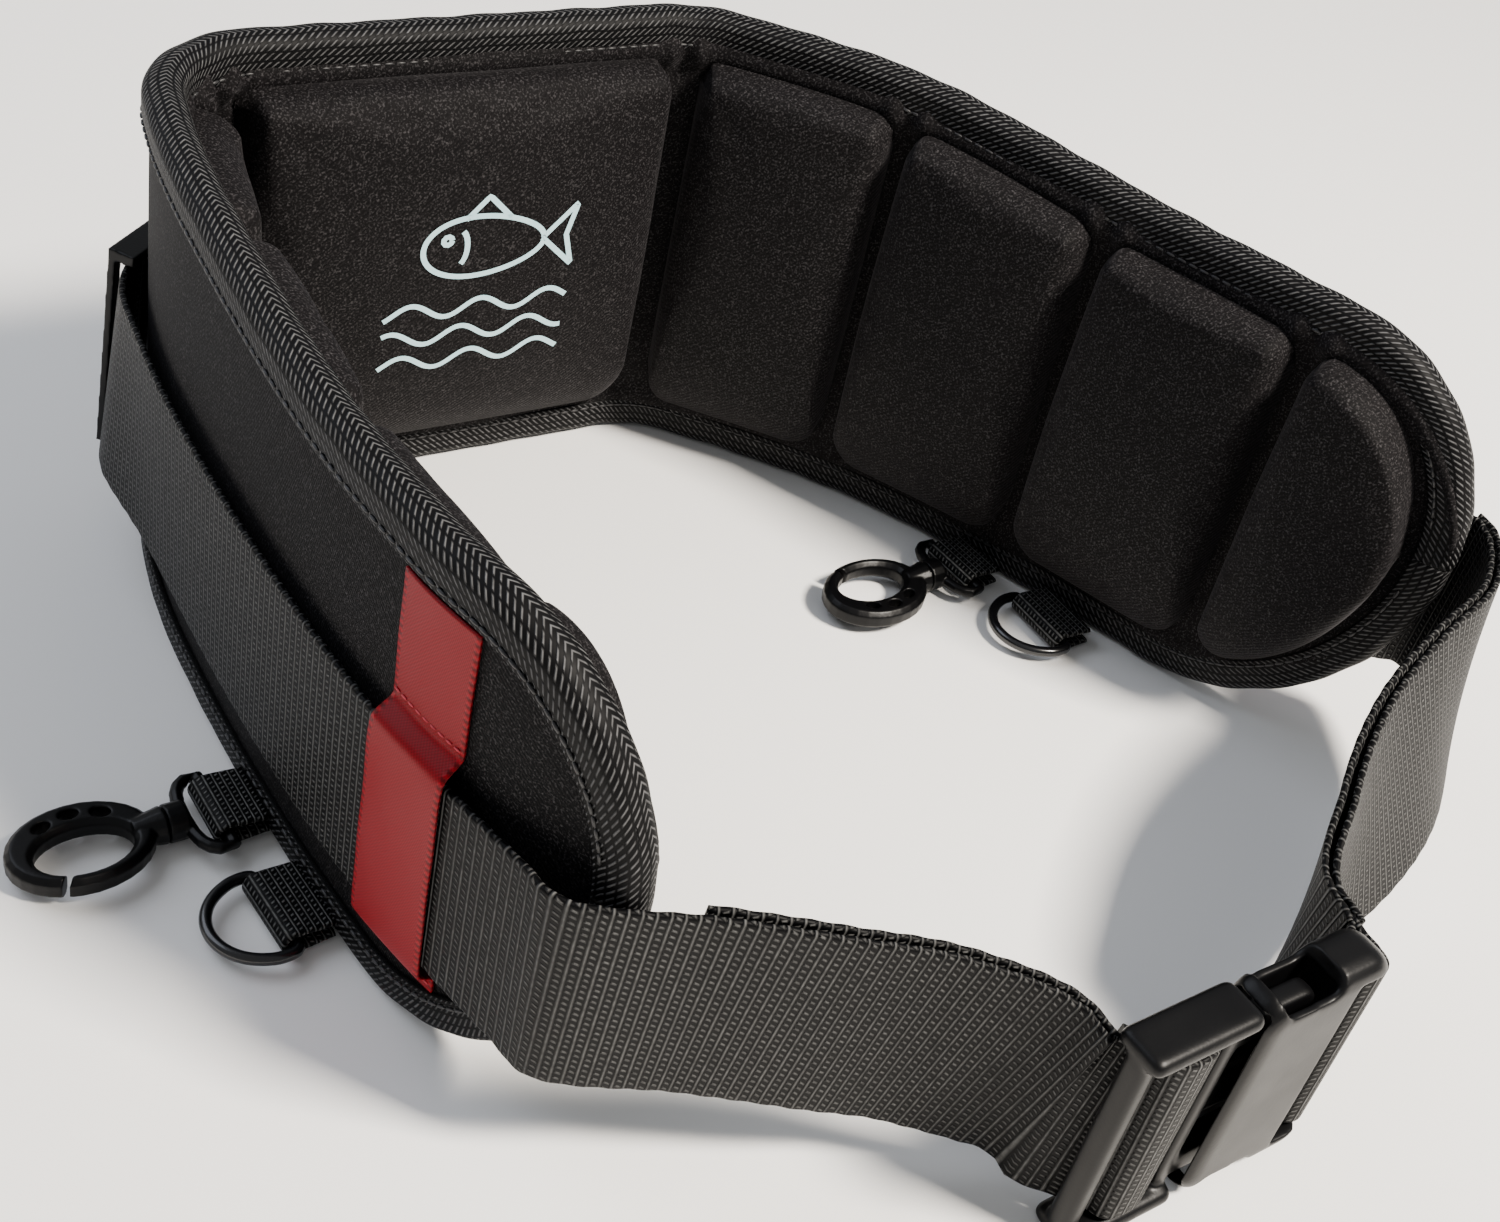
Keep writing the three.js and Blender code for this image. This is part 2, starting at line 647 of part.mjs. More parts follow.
function startOf(points, length) {
  const kept = [points[0]];
  let run = 0;
  for (let i = 1; i < points.length; i += 1) {
    const step = points[i].distanceTo(points[i - 1]);
    if (run + step > length) {
      kept.push(points[i - 1].clone().lerp(points[i], (length - run) / step));
      return kept;
    }
    kept.push(points[i]);
    run += step;
  }
  return kept;
}

const layerPitch = WEBBING_THICKNESS + LAYER_GAP;
const leanAt = (share) => radians(RIGHT_LEAN) * Math.sin(Math.PI * THREE.MathUtils.clamp(share, 0, 1)) ** 2;

/** Points between two ends of a free run, from one of the tables above. */
function runPoints(from, to, run) {
  const chord = to.clone().sub(from).setZ(0);
  const reach = chord.length();
  const inward = new THREE.Vector3(-chord.y, chord.x, 0).normalize();
  if (inward.y < 0) inward.negate();
  return run.map((row) => from.clone().lerp(to, row.share).addScaledVector(inward, reach * row.inward)
    .setZ(THREE.MathUtils.lerp(from.z, to.z, row.share ** RUN_DROP)));
}

/** Left strap: from the keeper, round the arm's end, over the male frame's centre bar and back. */
function makeLeftStrap() {
  const start = KEEPER_PLACE + CLEARANCE / 2;
  const leave = HALF_LENGTH - LEFT_LEAVE;
  const onArm = [0, 0.25, 0.5, 0.75, 1].map((share) => THREE.MathUtils.lerp(start, leave, share))
    .map((s) => {
      const standOff = LEFT_TIP_STANDOFF * ((s - start) / (leave - start)) ** 2;
      return onBelt(-s, strapDepth(s) - standOff, STRAP_HEIGHT);
    });
  const behindBar = MALE_THICKNESS / 2 + CLEARANCE + WEBBING_THICKNESS;
  const arrive = fromBuckle(maleEnd, behindBar + WEBBING_THICKNESS);
  const curve = new THREE.CatmullRomCurve3([...onArm, ...runPoints(onArm.at(-1), arrive, LEFT_RUN), arrive]);
  const free = curve.getSpacedPoints(30);
  const bar = maleEnd + END_BAR + SLOT_WIDTH + CENTRE_BAR / 2;
  const out = MALE_THICKNESS / 2 + WEBBING_THICKNESS / 2 + CLEARANCE;
  const swing = CENTRE_BAR / 2 + SLOT_WIDTH / 2;
  const round = threaded([
    [maleEnd + END_BAR, behindBar - 0.6],
    [bar - swing, 0],
    [bar - swing * 0.6, -out],
    [bar + swing * 0.6, -out],
    [bar + swing, 0],
    [bar + swing * 0.7, out + 0.4],
    [maleEnd + END_BAR + 2, behindBar + layerPitch - 0.2],
  ]);
  const back = startOf(besideLine([...free].reverse(), -layerPitch), LEFT_TAIL);
  return ribbon([...free, ...round, ...back].map((centre) => ({ centre, across: UP })), WEBBING_WIDTH,
    WEBBING_THICKNESS);
}

/** Right strap: from the keeper, out round the arm's tip, over the socket's end bar and back. */
function makeRightStrap() {
  const start = KEEPER_PLACE + CLEARANCE / 2;
  const bar = socketEnd - END_BAR / 2;
  const out = END_BAR * Math.SQRT1_2 + WEBBING_THICKNESS / 2 + CLEARANCE;
  const onArm = [0, 0.25, 0.5, 0.75, 1].map((share) => {
    const s = THREE.MathUtils.lerp(start, HALF_LENGTH, share);
    return onBelt(s, strapDepth(s) - RIGHT_TIP_STANDOFF * share ** 2, STRAP_HEIGHT);
  });
  const ahead = fromBuckle(bar + END_BAR, out + END_BAR);
  const curve = new THREE.CatmullRomCurve3([...onArm, ...runPoints(onArm.at(-1), ahead, RIGHT_RUN), ahead]);
  const free = curve.getSpacedPoints(36);
  const around = [10, -20, -50, -80, -110, -140, -170, -200, -230, -260].map(radians);
  const round = threaded(around.map((angle) => [bar + out * Math.cos(angle), out * Math.sin(angle)]));
  const back = startOf(besideLine([...free].reverse(), -layerPitch), RIGHT_TAIL);
  const onArmShare = (HALF_LENGTH - start) / curve.getLength();
  const freeShare = (i) => (i / (free.length - 1) - onArmShare) / (1 - onArmShare);
  const freeLine = free.map((centre, i) => ({ centre, across: leaning(free, i, leanAt(freeShare(i))) }));
  const backLine = back.map((centre, i) => {
    const share = freeShare(free.length - 1 - i);
    return { centre, across: leaning(back, i, -leanAt(share)) };
  });
  const roundLine = round.map((centre) => ({ centre, across: UP }));
  return ribbon([...freeLine, ...roundLine, ...backLine], WEBBING_WIDTH, WEBBING_THICKNESS);
}

/** Upright direction tilted sideways by an angle about the way that the line runs. */
function leaning(points, i, angle) {
  const before = points[Math.max(0, i - 1)];
  const after = points[Math.min(points.length - 1, i + 1)];
  return UP.clone().applyAxisAngle(after.clone().sub(before).setZ(0).normalize(), angle);
}

/** Three-bar slide on the strap: two end bars outside it, the middle bar inside it. */
function makeSlide() {
  const half = WEBBING_WIDTH / 2;
  const outer = WEBBING_THICKNESS / 2 + SLIDE_SLACK;
  const inner = -outer;
  const end = SLIDE_LENGTH / 2;
  const reach = half + SLIDE_SLACK + SLIDE_BAR / 4;
  const rails = [-1, 1].map((side) => {
    const z = side * (half + SLIDE_SLACK + SLIDE_BAR / 2);
    return block(-end, end, inner - SLIDE_THICKNESS, outer + SLIDE_THICKNESS, z - SLIDE_BAR / 2,
      z + SLIDE_BAR / 2);
  });
  const bars = [-1, 1].map((side) => {
    const x = side * (end - SLIDE_BAR / 2);
    return block(x - SLIDE_BAR / 2, x + SLIDE_BAR / 2, outer, outer + SLIDE_THICKNESS, -reach, reach);
  });
  const middle = block(-SLIDE_BAR / 2, SLIDE_BAR / 2, inner - SLIDE_THICKNESS, inner, -reach, reach);
  return join(...rails, ...bars, middle);
}

function addSlide() {
  const strapAt = (s) => onBelt(s, strapDepth(s), STRAP_HEIGHT);
  const along = strapAt(-SLIDE_PLACE + SLIDE_LENGTH / 2).sub(strapAt(-SLIDE_PLACE - SLIDE_LENGTH / 2));
  const mesh = add('strap_slide', makeSlide(), looks.plastic);
  mesh.position.copy(strapAt(-SLIDE_PLACE));
  mesh.rotation.z = Math.atan2(along.y, along.x);
  mesh.rotateOnWorldAxis(frameAt(-SLIDE_PLACE).along, strapLean(-SLIDE_PLACE));
}

// Hardware on the lower edge: a tab of webbing that is folded round a bar, and what
// hangs from it. Its own axes run away from the panel, along the bar, and up.

function tabLine(barHeight, barRadius, reach, gap) {
  const fold = barRadius + CLEARANCE + TAB_THICKNESS / 2;
  const line = [[0, barHeight - fold]];
  const bends = [-90, -60, -30, 0, 30, 60, 90].map(radians);
  for (const angle of bends) {
    line.push([reach + fold * Math.cos(angle), barHeight + fold * Math.sin(angle)]);
  }
  line.push([0, barHeight + fold]);
  const across = new THREE.Vector3(0, 1, 0);
  return line.map(([x, z]) => ({ centre: new THREE.Vector3(x + gap, 0, z), across }));
}

/** Round wire bent through points in one plane and closed on itself. */
function closedWire(points, radius, sides) {
  const count = points.length;
  const ring = (i) => {
    const along = points[(i + 1) % count].clone().sub(points[(i + count - 1) % count]).normalize();
    const side = along.clone().cross(UP);
    return [...Array(sides).keys()].map((j) => {
      const angle = (2 * Math.PI * j) / sides;
      return points[i].clone()
        .addScaledVector(side, radius * Math.cos(angle))
        .addScaledVector(UP, radius * Math.sin(angle));
    });
  };
  const rings = points.map((_, i) => ring(i));
  const triangles = [];
  const at = (i, j) => (i % count) * sides + (j % sides);
  for (let i = 0; i < count; i += 1) {
    for (let j = 0; j < sides; j += 1) {
      triangles.push([at(i, j), at(i, j + 1), at(i + 1, j + 1)], [at(i, j), at(i + 1, j + 1), at(i + 1, j)]);
    }
  }
  return outward(fromTriangles(rings.flat(), triangles));
}

/** Outline of a D: a straight bar along y with a half-round bow on the far side. */
function dOutline(width, depth, wire, square = 1) {
  const half = (width - wire) / 2;
  const bow = depth - wire / 2;
  const points = [new THREE.Vector3(0, -half, 0)];
  for (let k = 0; k <= 10; k += 1) {
    const angle = radians(-90 + 18 * k);
    const x = bow * Math.cos(angle) ** square;
    const y = half * Math.sign(Math.sin(angle)) * Math.abs(Math.sin(angle)) ** square;
    if (k > 0 && k < 10) points.push(new THREE.Vector3(x, y, 0));
  }
  points.push(new THREE.Vector3(0, half, 0));
  return points;
}

function makeDRing() {
  return closedWire(dOutline(RING_WIDTH, RING_DEPTH, RING_WIRE), RING_WIRE / 2, 8);
}

function makeEye() {
  const wire = closedWire(dOutline(EYE_WIDTH, EYE_DEPTH, EYE_WIRE, 0.7), EYE_WIRE / 2, 8);
  const barrel = new THREE.CylinderGeometry(BARREL_RADIUS, BARREL_RADIUS, BARREL_LENGTH, 14)
    .rotateZ(Math.PI / 2).translate(EYE_DEPTH - EYE_WIRE / 2 + BARREL_LENGTH / 2, 0, 0);
  return join(wire, barrel);
}

/** Snap hook: an oval ring with a sprung gate, three oval holes in its spine and a collar. */
function makeHook() {
  const start = EYE_DEPTH - EYE_WIRE / 2 + BARREL_LENGTH + CLEARANCE;
  const collar = COLLAR_LENGTH + COLLAR_ROOT;
  const middle = start + COLLAR_LENGTH + HOOK_LENGTH / 2 - HOOK_LAP;
  const halfLength = HOOK_LENGTH / 2;
  const halfWidth = HOOK_WIDTH / 2;
  const ring = new THREE.Shape();
  ring.absellipse(middle, 0, halfLength, halfWidth, 0, 2 * Math.PI);
  const opening = new THREE.Path();
  opening.absellipse(middle, -SPINE_EXTRA, halfLength - HOOK_RIM, halfWidth - HOOK_RIM, 0,
    2 * Math.PI, true);
  ring.holes.push(opening);
  const body = drawnOut(ring, HOOK_THICKNESS, HOOK_SOFT, 1, 14).translate(0, 0, -HOOK_THICKNESS / 2);
  const neck = new THREE.CylinderGeometry(BARREL_RADIUS * 0.7, BARREL_RADIUS, collar, 14)
    .rotateZ(-Math.PI / 2)
    .translate(start + collar / 2, 0, 0);
  const through = HOOK_THICKNESS * 2;
  const holes = [-1, 0, 1].map((k) => new THREE.CylinderGeometry(HOLE_RADIUS, HOLE_RADIUS, through, 10)
    .scale(HOLE_STRETCH, 1, 1)
    .rotateX(Math.PI / 2)
    .rotateZ(radians(-HOLE_TURN * k))
    .translate(middle + k * HOLE_PITCH, halfWidth - HOLE_INSET - Math.abs(k) * HOLE_DROP, 0));
  const gap = block(-GATE_GAP / 2, GATE_GAP / 2, -halfWidth / 2, halfWidth / 2, -through, through)
    .rotateZ(radians(GATE_TURN))
    .translate(middle + GATE_PLACE, -halfWidth + HOOK_RIM / 2, 0);
  return cut(join(body, neck), ...holes, gap);
}

/** Hangs the tab, with the hook or ring that it holds, from the lower edge of an arm. */
function addHardware(side, sideName) {
  const away = side < 0 ? -1 : 1;   // the left pieces lie outside the belt, the right ones inside it
  const skew = side < 0 ? 0 : radians(RIGHT_SKEW);
  const face = side < 0 ? -CLEARANCE - BINDING_WALL : PANEL_THICKNESS + CLEARANCE + BINDING_WALL;
  const hang = (place, width, group) => {
    const s = side * place;
    const { inward } = frameAt(s);
    const turn = Math.atan2(away * inward.y, away * inward.x) - skew;
    group.position.copy(onBelt(s, face, 0));
    group.rotation.z = turn;
    belt.add(group);
    return 1.5 * CLEARANCE + (width / 2) * Math.sin(skew);
  };
  const hookGroup = new THREE.Group();
  const hookRoom = hang(HOOK_PLACE, HOOK_TAB_WIDTH, hookGroup);
  const hookBar = BARREL_RADIUS + CLEARANCE;
  add(`${sideName}_hook_tab`, ribbon(tabLine(hookBar, EYE_WIRE / 2, TAB_REACH, hookRoom), HOOK_TAB_WIDTH,
    TAB_THICKNESS), looks.webbing, hookGroup);
  const hook = makeHook().rotateX(side < 0 ? Math.PI : 0);   // the left spine is on the far side
  const pieces = [['swivel_eye', makeEye()], ['snap_hook', hook]];
  for (const [name, geometry] of pieces) {
    add(`${sideName}_${name}`, geometry, looks.plastic, hookGroup).position
      .set(TAB_REACH + hookRoom, 0, hookBar);
  }
  const ringGroup = new THREE.Group();
  const ringRoom = hang(RING_PLACE, RING_TAB_WIDTH, ringGroup);
  const ringBar = RING_WIRE / 2 + CLEARANCE + TAB_THICKNESS + CLEARANCE;
  add(`${sideName}_ring_tab`, ribbon(tabLine(ringBar, RING_WIRE / 2, TAB_REACH, ringRoom), RING_TAB_WIDTH,
    TAB_THICKNESS), looks.webbing, ringGroup);
  add(`${sideName}_d_ring`, makeDRing(), looks.wire, ringGroup).position
    .set(TAB_REACH + ringRoom, 0, ringBar);
}

// Assembly

add('panel', makePanel(), looks.panel);
add('binding_upper', makeBinding(true), looks.binding);
add('binding_lower', makeBinding(false), looks.binding);

add('back_pad', makePad(-BACK_PAD_LENGTH / 2, BACK_PAD_LENGTH / 2), looks.pad);
for (const [sideName, side] of [['left', -1], ['right', 1]]) {
  let place = BACK_PAD_LENGTH / 2 + BACK_PAD_GAP;
  ARM_PAD_LENGTHS.forEach((length, i) => {
    const ends = [side * place, side * (place + length)].sort((a, b) => a - b);
    add(`${sideName}_pad_${i + 1}`, makePad(...ends), looks.pad);
    place += length + ARM_PAD_GAP;
  });
  add(`${sideName}_pad_${ARM_PAD_LENGTHS.length + 1}`, makeEndPad(place, side), looks.pad);
  add(`${sideName}_keeper`, makeKeeper(side), looks.ribbon);
  addHardware(side, sideName);
}

add('strap_back', makeBackStrap(), looks.webbing);
add('strap_left', makeLeftStrap(), looks.webbing);
add('strap_right', makeRightStrap(), looks.webbing);
addSlide();
placeOnBuckle(add('buckle_male', makeMale(), looks.plastic));
placeOnBuckle(add('buckle_socket', makeSocket(), looks.plastic));

const middle = new THREE.Box3().setFromObject(belt, true).getCenter(new THREE.Vector3());
belt.position.set(-middle.x, -middle.y, 0);

export default belt;
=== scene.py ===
# %% [markdown]
# # A fishing fighting belt
# The belt is a padded waist panel with bound edges. A flat webbing strap runs round its
# back and closes in front with a side-release buckle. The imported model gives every
# piece's size and place. This lesson gives each piece its cloth, weave or moulded finish.

import json
import math

import bpy
import numpy as np
from mathutils import Matrix, Vector
from mathutils.bvhtree import BVHTree

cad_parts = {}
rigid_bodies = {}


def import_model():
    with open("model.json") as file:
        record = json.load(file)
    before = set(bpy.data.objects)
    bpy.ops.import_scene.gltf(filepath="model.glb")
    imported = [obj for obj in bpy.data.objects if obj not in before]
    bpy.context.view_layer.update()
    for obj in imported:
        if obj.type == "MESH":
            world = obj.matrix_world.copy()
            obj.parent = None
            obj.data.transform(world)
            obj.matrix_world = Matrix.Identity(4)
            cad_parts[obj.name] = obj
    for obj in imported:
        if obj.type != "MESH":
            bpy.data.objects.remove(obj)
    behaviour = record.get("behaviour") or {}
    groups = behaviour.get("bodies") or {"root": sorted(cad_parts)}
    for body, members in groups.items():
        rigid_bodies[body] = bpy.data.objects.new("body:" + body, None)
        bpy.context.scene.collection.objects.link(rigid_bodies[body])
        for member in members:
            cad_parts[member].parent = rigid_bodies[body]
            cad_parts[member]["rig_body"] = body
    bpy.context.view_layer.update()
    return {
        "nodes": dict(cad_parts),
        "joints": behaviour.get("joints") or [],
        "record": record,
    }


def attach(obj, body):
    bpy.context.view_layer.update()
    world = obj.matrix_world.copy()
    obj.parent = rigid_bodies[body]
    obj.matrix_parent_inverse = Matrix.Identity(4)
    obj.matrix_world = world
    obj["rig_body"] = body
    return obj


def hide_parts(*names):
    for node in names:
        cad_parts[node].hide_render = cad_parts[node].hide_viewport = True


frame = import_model()
nodes = frame["nodes"]

# %% [markdown]
# ## The belt's own coordinates
# The panel is a strip that bends in plan. A point on it is easiest to say as a length
# `s` along the outer face, a `depth` toward the wearer and a height. The heading of the
# strip is a broken line of known turns, so its plan is the running sum of that heading.

# %% Plan of the belt
HALF_LENGTH = 305.0
BACK_HEIGHT = 130.0
ARM_HEIGHT = 122.0
DROP = (0.36, 0.72)
NOSE_LOW = 64.0
NOSE_HIGH = 46.0
TIP_HEIGHT = 70.0
THICKNESS = 6.0
CENTRE_BACK = np.array([-58.0, 95.0])
RIGHT_PLAN = np.array([[.186, 0], [.084, 45], [.129, 5], [.096, 10], [.199, 8], [.135, 4], [.171, -14]])
LEFT_PLAN = np.array([[.167, 0], [.144, 77], [.138, 11], [.217, 5], [.124, 4], [.21, 26]])
BUCKLE = np.array([-10.0, -189.0])
BUCKLE_TURN = math.radians(2)

mount = next(m for m in frame["record"]["mounts"] if m["name"] == "lower_edge")["pos_m"]
SHIFT = np.array([mount[0] * 1000 + 58, mount[1] * 1000 - 92, 0])

fine = np.arange(-HALF_LENGTH - 20, HALF_LENGTH + 20.1, 0.25)
knots = np.concatenate([-np.cumsum(LEFT_PLAN[:, 0])[::-1], [0], np.cumsum(RIGHT_PLAN[:, 0])]) * HALF_LENGTH
turns = np.concatenate([np.cumsum(LEFT_PLAN[:, 1])[::-1], [0], -np.cumsum(RIGHT_PLAN[:, 1])])
fine_heading = np.radians(np.interp(fine, knots, turns))
steps = np.stack([np.cos(fine_heading), np.sin(fine_heading)], 1) * 0.25
fine_plan = np.cumsum(steps, 0) - 0.5 * steps
fine_plan += CENTRE_BACK - fine_plan[np.argmin(abs(fine))]


def heading(s):
    """Direction of growing s in plan, in radians."""
    return np.interp(s, fine, fine_heading)


def on_belt(s, depth, height):
    """Point = plan(s) + depth * inward(s), at the given height; inward is the heading turned right."""
    s, depth, height = np.broadcast_arrays(*map(np.asarray, (s, depth, height)))
    h = heading(s)
    x = np.interp(s, fine, fine_plan[:, 0]) + depth * np.sin(h)
    y = np.interp(s, fine, fine_plan[:, 1]) - depth * np.cos(h)
    return np.stack([x, y, height.astype(float)], -1) + SHIFT


def ease(x):
    """Smooth step 3x^2 - 2x^3 between 0 and 1."""
    x = np.clip(x, 0, 1)
    return x * x * (3 - 2 * x)


def top_edge(s):
    """Height of the panel before its end is rounded."""
    return BACK_HEIGHT - (BACK_HEIGHT - ARM_HEIGHT) * ease((abs(s) / HALF_LENGTH - DROP[0]) / (DROP[1] - DROP[0]))


def edges_at(s):
    """Lower and upper edge at s: each is a quarter ellipse over the last stretch of the arm."""
    def rounding(nose):
        past = np.clip((abs(s) - (HALF_LENGTH - nose)) / nose, 0, 1)
        return 1 - np.sqrt(1 - past ** 2)
    top = top_edge(s)
    return TIP_HEIGHT * rounding(NOSE_LOW), top - (top - TIP_HEIGHT) * rounding(NOSE_HIGH)


print("plan spans", np.round(fine_plan.min(0)), np.round(fine_plan.max(0)), "shift", np.round(SHIFT, 2))

# %% [markdown]
# ## Turning arrays into meshes
# Every new piece is a grid of points worked out at once. Its own UV map holds real
# lengths in metres, so a weave keeps its thread spacing wherever the surface bends.

# %% Grid meshes
def new_object(name, data):
    """Object with the given data, put into the scene."""
    made = bpy.data.objects.new(name, data)
    bpy.context.scene.collection.objects.link(made)
    return made


def mesh_object(name, points, faces, uv=None):
    """Mesh from points in millimetres, faces as index rows, and one UV pair for each point, in metres."""
    mesh = bpy.data.meshes.new(name)
    mesh.from_pydata((np.asarray(points).reshape(-1, 3) / 1000).tolist(), [], [list(map(int, f)) for f in faces])
    mesh.validate(clean_customdata=False)
    if uv is not None:
        layer = mesh.uv_layers.new(name="weave")
        corner = np.empty(len(mesh.loops), int)
        mesh.loops.foreach_get("vertex_index", corner)
        layer.data.foreach_set("uv", np.asarray(uv, float).reshape(-1, 2)[corner].ravel())
    mesh.shade_smooth()
    return new_object(name, mesh)


def grid_faces(rows, columns, close_rows=False, close_columns=False):
    """Quads of a grid of points numbered row by row."""
    i = np.arange(rows if close_rows else rows - 1)[:, None]
    j = np.arange(columns if close_columns else columns - 1)
    at = lambda a, b: (a % rows) * columns + (b % columns)
    return np.stack([at(i, j), at(i, j + 1), at(i + 1, j + 1), at(i + 1, j)], -1).reshape(-1, 4)


def tube_surface(name, rings, uv, capped=True):
    """Closed surface through rings of points, with a flat fan at each end and its faces outward."""
    rows, columns = rings.shape[:2]
    faces = grid_faces(rows, columns, close_rows=not capped, close_columns=True).tolist()
    if capped:
        faces += [list(range(columns))[::-1], list(range((rows - 1) * columns, rows * columns))]
    made = mesh_object(name, rings, faces, uv)
    face_outward(made)
    return made


def face_outward(piece):
    """Flips every face if the enclosed volume, the sum of a . (b x c) / 6, comes out negative."""
    mesh = piece.data
    mesh.calc_loop_triangles()
    co = np.empty(len(mesh.vertices) * 3)
    mesh.vertices.foreach_get("co", co)
    triangle = np.empty(len(mesh.loop_triangles) * 3, int)
    mesh.loop_triangles.foreach_get("vertices", triangle)
    a, b, c = np.moveaxis(co.reshape(-1, 3)[triangle.reshape(-1, 3)], 1, 0)
    if np.einsum("ij,ij->i", a, np.cross(b, c)).sum() < 0:
        mesh.flip_normals()


def unit(rows):
    """Each row divided by its own length."""
    return rows / np.linalg.norm(rows, axis=-1, keepdims=True)


def lengths(points):
    """Running length along a line of points."""
    return np.concatenate([[0], np.cumsum(np.linalg.norm(np.diff(points, axis=0), axis=1))])


def resample(points, step):
    """Points at even spacing along the same line."""
    run = lengths(points)
    at = np.linspace(0, run[-1], max(2, int(run[-1] / step) + 1))
    return np.stack([np.interp(at, run, points[:, k]) for k in range(points.shape[1])], 1)


def through(points, step=1.5):
    """Smooth line through a few points: Catmull-Rom spans on knots at the root of each distance."""
    p = np.asarray(points, float)
    p = np.vstack([2 * p[0] - p[1], p, 2 * p[-1] - p[-2]])
    line = []
    for a, b, c, d in zip(p[:-3], p[1:-2], p[2:-1], p[3:]):
        k = np.cumsum([0] + [max(np.linalg.norm(q - r) ** 0.5, 1e-4) for q, r in ((b, a), (c, b), (d, c))])
        t = np.linspace(k[1], k[2], 12, endpoint=False)[:, None]
        mix = lambda u, v, i, j: u * (k[j] - t) / (k[j] - k[i]) + v * (t - k[i]) / (k[j] - k[i])
        ab, bc, cd = mix(a, b, 0, 1), mix(b, c, 1, 2), mix(c, d, 2, 3)
        line.append(mix(mix(ab, bc, 0, 2), mix(bc, cd, 1, 3), 1, 2))
    return resample(np.vstack(line + [p[-2:-1]]), step)


# %% [markdown]
# ## Materials
# Colours are written as sRGB hex values and turned to the linear values that a shader
# wants. One small function adds any node. Each finish is named for the real one.

# %% Colour and node helpers
def linear(code):
    """Linear colour of an sRGB hex value: c / 12.92 below 0.04, ((c + 0.055) / 1.055) ** 2.4 above."""
    c = np.array([int(code[i:i + 2], 16) for i in (1, 3, 5)]) / 255
    return (*np.where(c <= 0.04045, c / 12.92, ((c + 0.055) / 1.055) ** 2.4), 1.0)


def add_node(tree, kind, inputs=None, **settings):
    """One shader node with its settings; an input is a value or another node's output."""
    made = tree.nodes.new(kind)
    for key, value in settings.items():
        setattr(made, key, value)
    for key, value in (inputs or {}).items():
        if isinstance(value, bpy.types.NodeSocket):
            tree.links.new(value, made.inputs[key])
        else:
            made.inputs[key].default_value = value
    return made


def new_material(name, shader):
    """Material whose Principled shader has the given values."""
    material = bpy.data.materials.new(name)
    material.use_nodes = True
    tree = material.node_tree
    surface = tree.nodes["Principled BSDF"]
    for key, value in shader.items():
        surface.inputs[key].default_value = value
    return material, tree, surface


def maths(tree, operation, *values, **settings):
    """Result of one operation on up to three values."""
    return add_node(tree, "ShaderNodeMath", dict(enumerate(values)), operation=operation, **settings).outputs[0]


def turned_by(tree, length, pitch):
    """Phase of a repeat: 2 pi length / pitch."""
    return maths(tree, "MULTIPLY", length, 2 * math.pi / pitch)


def stripes(tree, length, pitch):
    """Wave of sin(2 pi length / pitch)."""
    return maths(tree, "SINE", turned_by(tree, length, pitch))


def between(tree, value, low, high):
    """0 at low, 1 at high, held outside."""
    return add_node(tree, "ShaderNodeMapRange", {"Value": value, "From Min": low, "From Max": high}).outputs[0]


def noise(tree, scale, detail=2.0):
    """Noise in the piece's own metres, so a scale of 1000 gives grains of about 1 mm."""
    here = add_node(tree, "ShaderNodeTexCoord").outputs["Object"]
    return add_node(tree, "ShaderNodeTexNoise", {"Vector": here, "Scale": scale, "Detail": detail}).outputs["Fac"]


def mix(tree, factor, start, end):
    """Colour from start to end; each is a hex value or another node's colour."""
    a, b = (linear(c) if isinstance(c, str) else c for c in (start, end))
    return add_node(tree, "ShaderNodeMix", {"Factor": factor, "A": a, "B": b}, data_type="RGBA").outputs["Result"]


def along_and_across(tree):
    """Real lengths on the cloth, in metres, from the piece's own UV map."""
    weave = add_node(tree, "ShaderNodeUVMap", uv_map="weave")
    part = add_node(tree, "ShaderNodeSeparateXYZ", {0: weave.outputs[0]})
    return part.outputs["X"], part.outputs["Y"]


def finish(tree, surface, colour, height, strength, distance):
    """Joins a colour and a bump of the given height to the shader; the distance is in metres."""
    tree.links.new(colour, surface.inputs["Base Color"])
    bump = add_node(tree, "ShaderNodeBump", {"Height": height, "Strength": strength, "Distance": distance})
    tree.links.new(bump.outputs[0], surface.inputs["Normal"])


def dress(piece, material, body, slot, node=None):
    """Material and body of a piece; the slot is not used. One that stands for a node of the model names it."""
    piece.data.materials.clear()
    piece.data.materials.append(material)
    if node:
        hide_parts(node)
    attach(piece, body)


# %% [markdown]
# ### Laminated knit
# The lining is a smooth polyester knit bonded to foam. It is nearly black, with fine
# twill lines and a scatter of painted glints: light specks painted into its colour where
# its sheen would sparkle. A sheen layer lifts it where the surface turns away. The real
# lines are about 0.5 mm apart; they are drawn wider so that they show at this distance.

# %% Knit material
TWILL_ANGLE = 0.9
# Colour of the painted glints: light specks painted where the knit's sheen would sparkle.
GLINT_SPECK_COLOUR = "#6f6c6e"


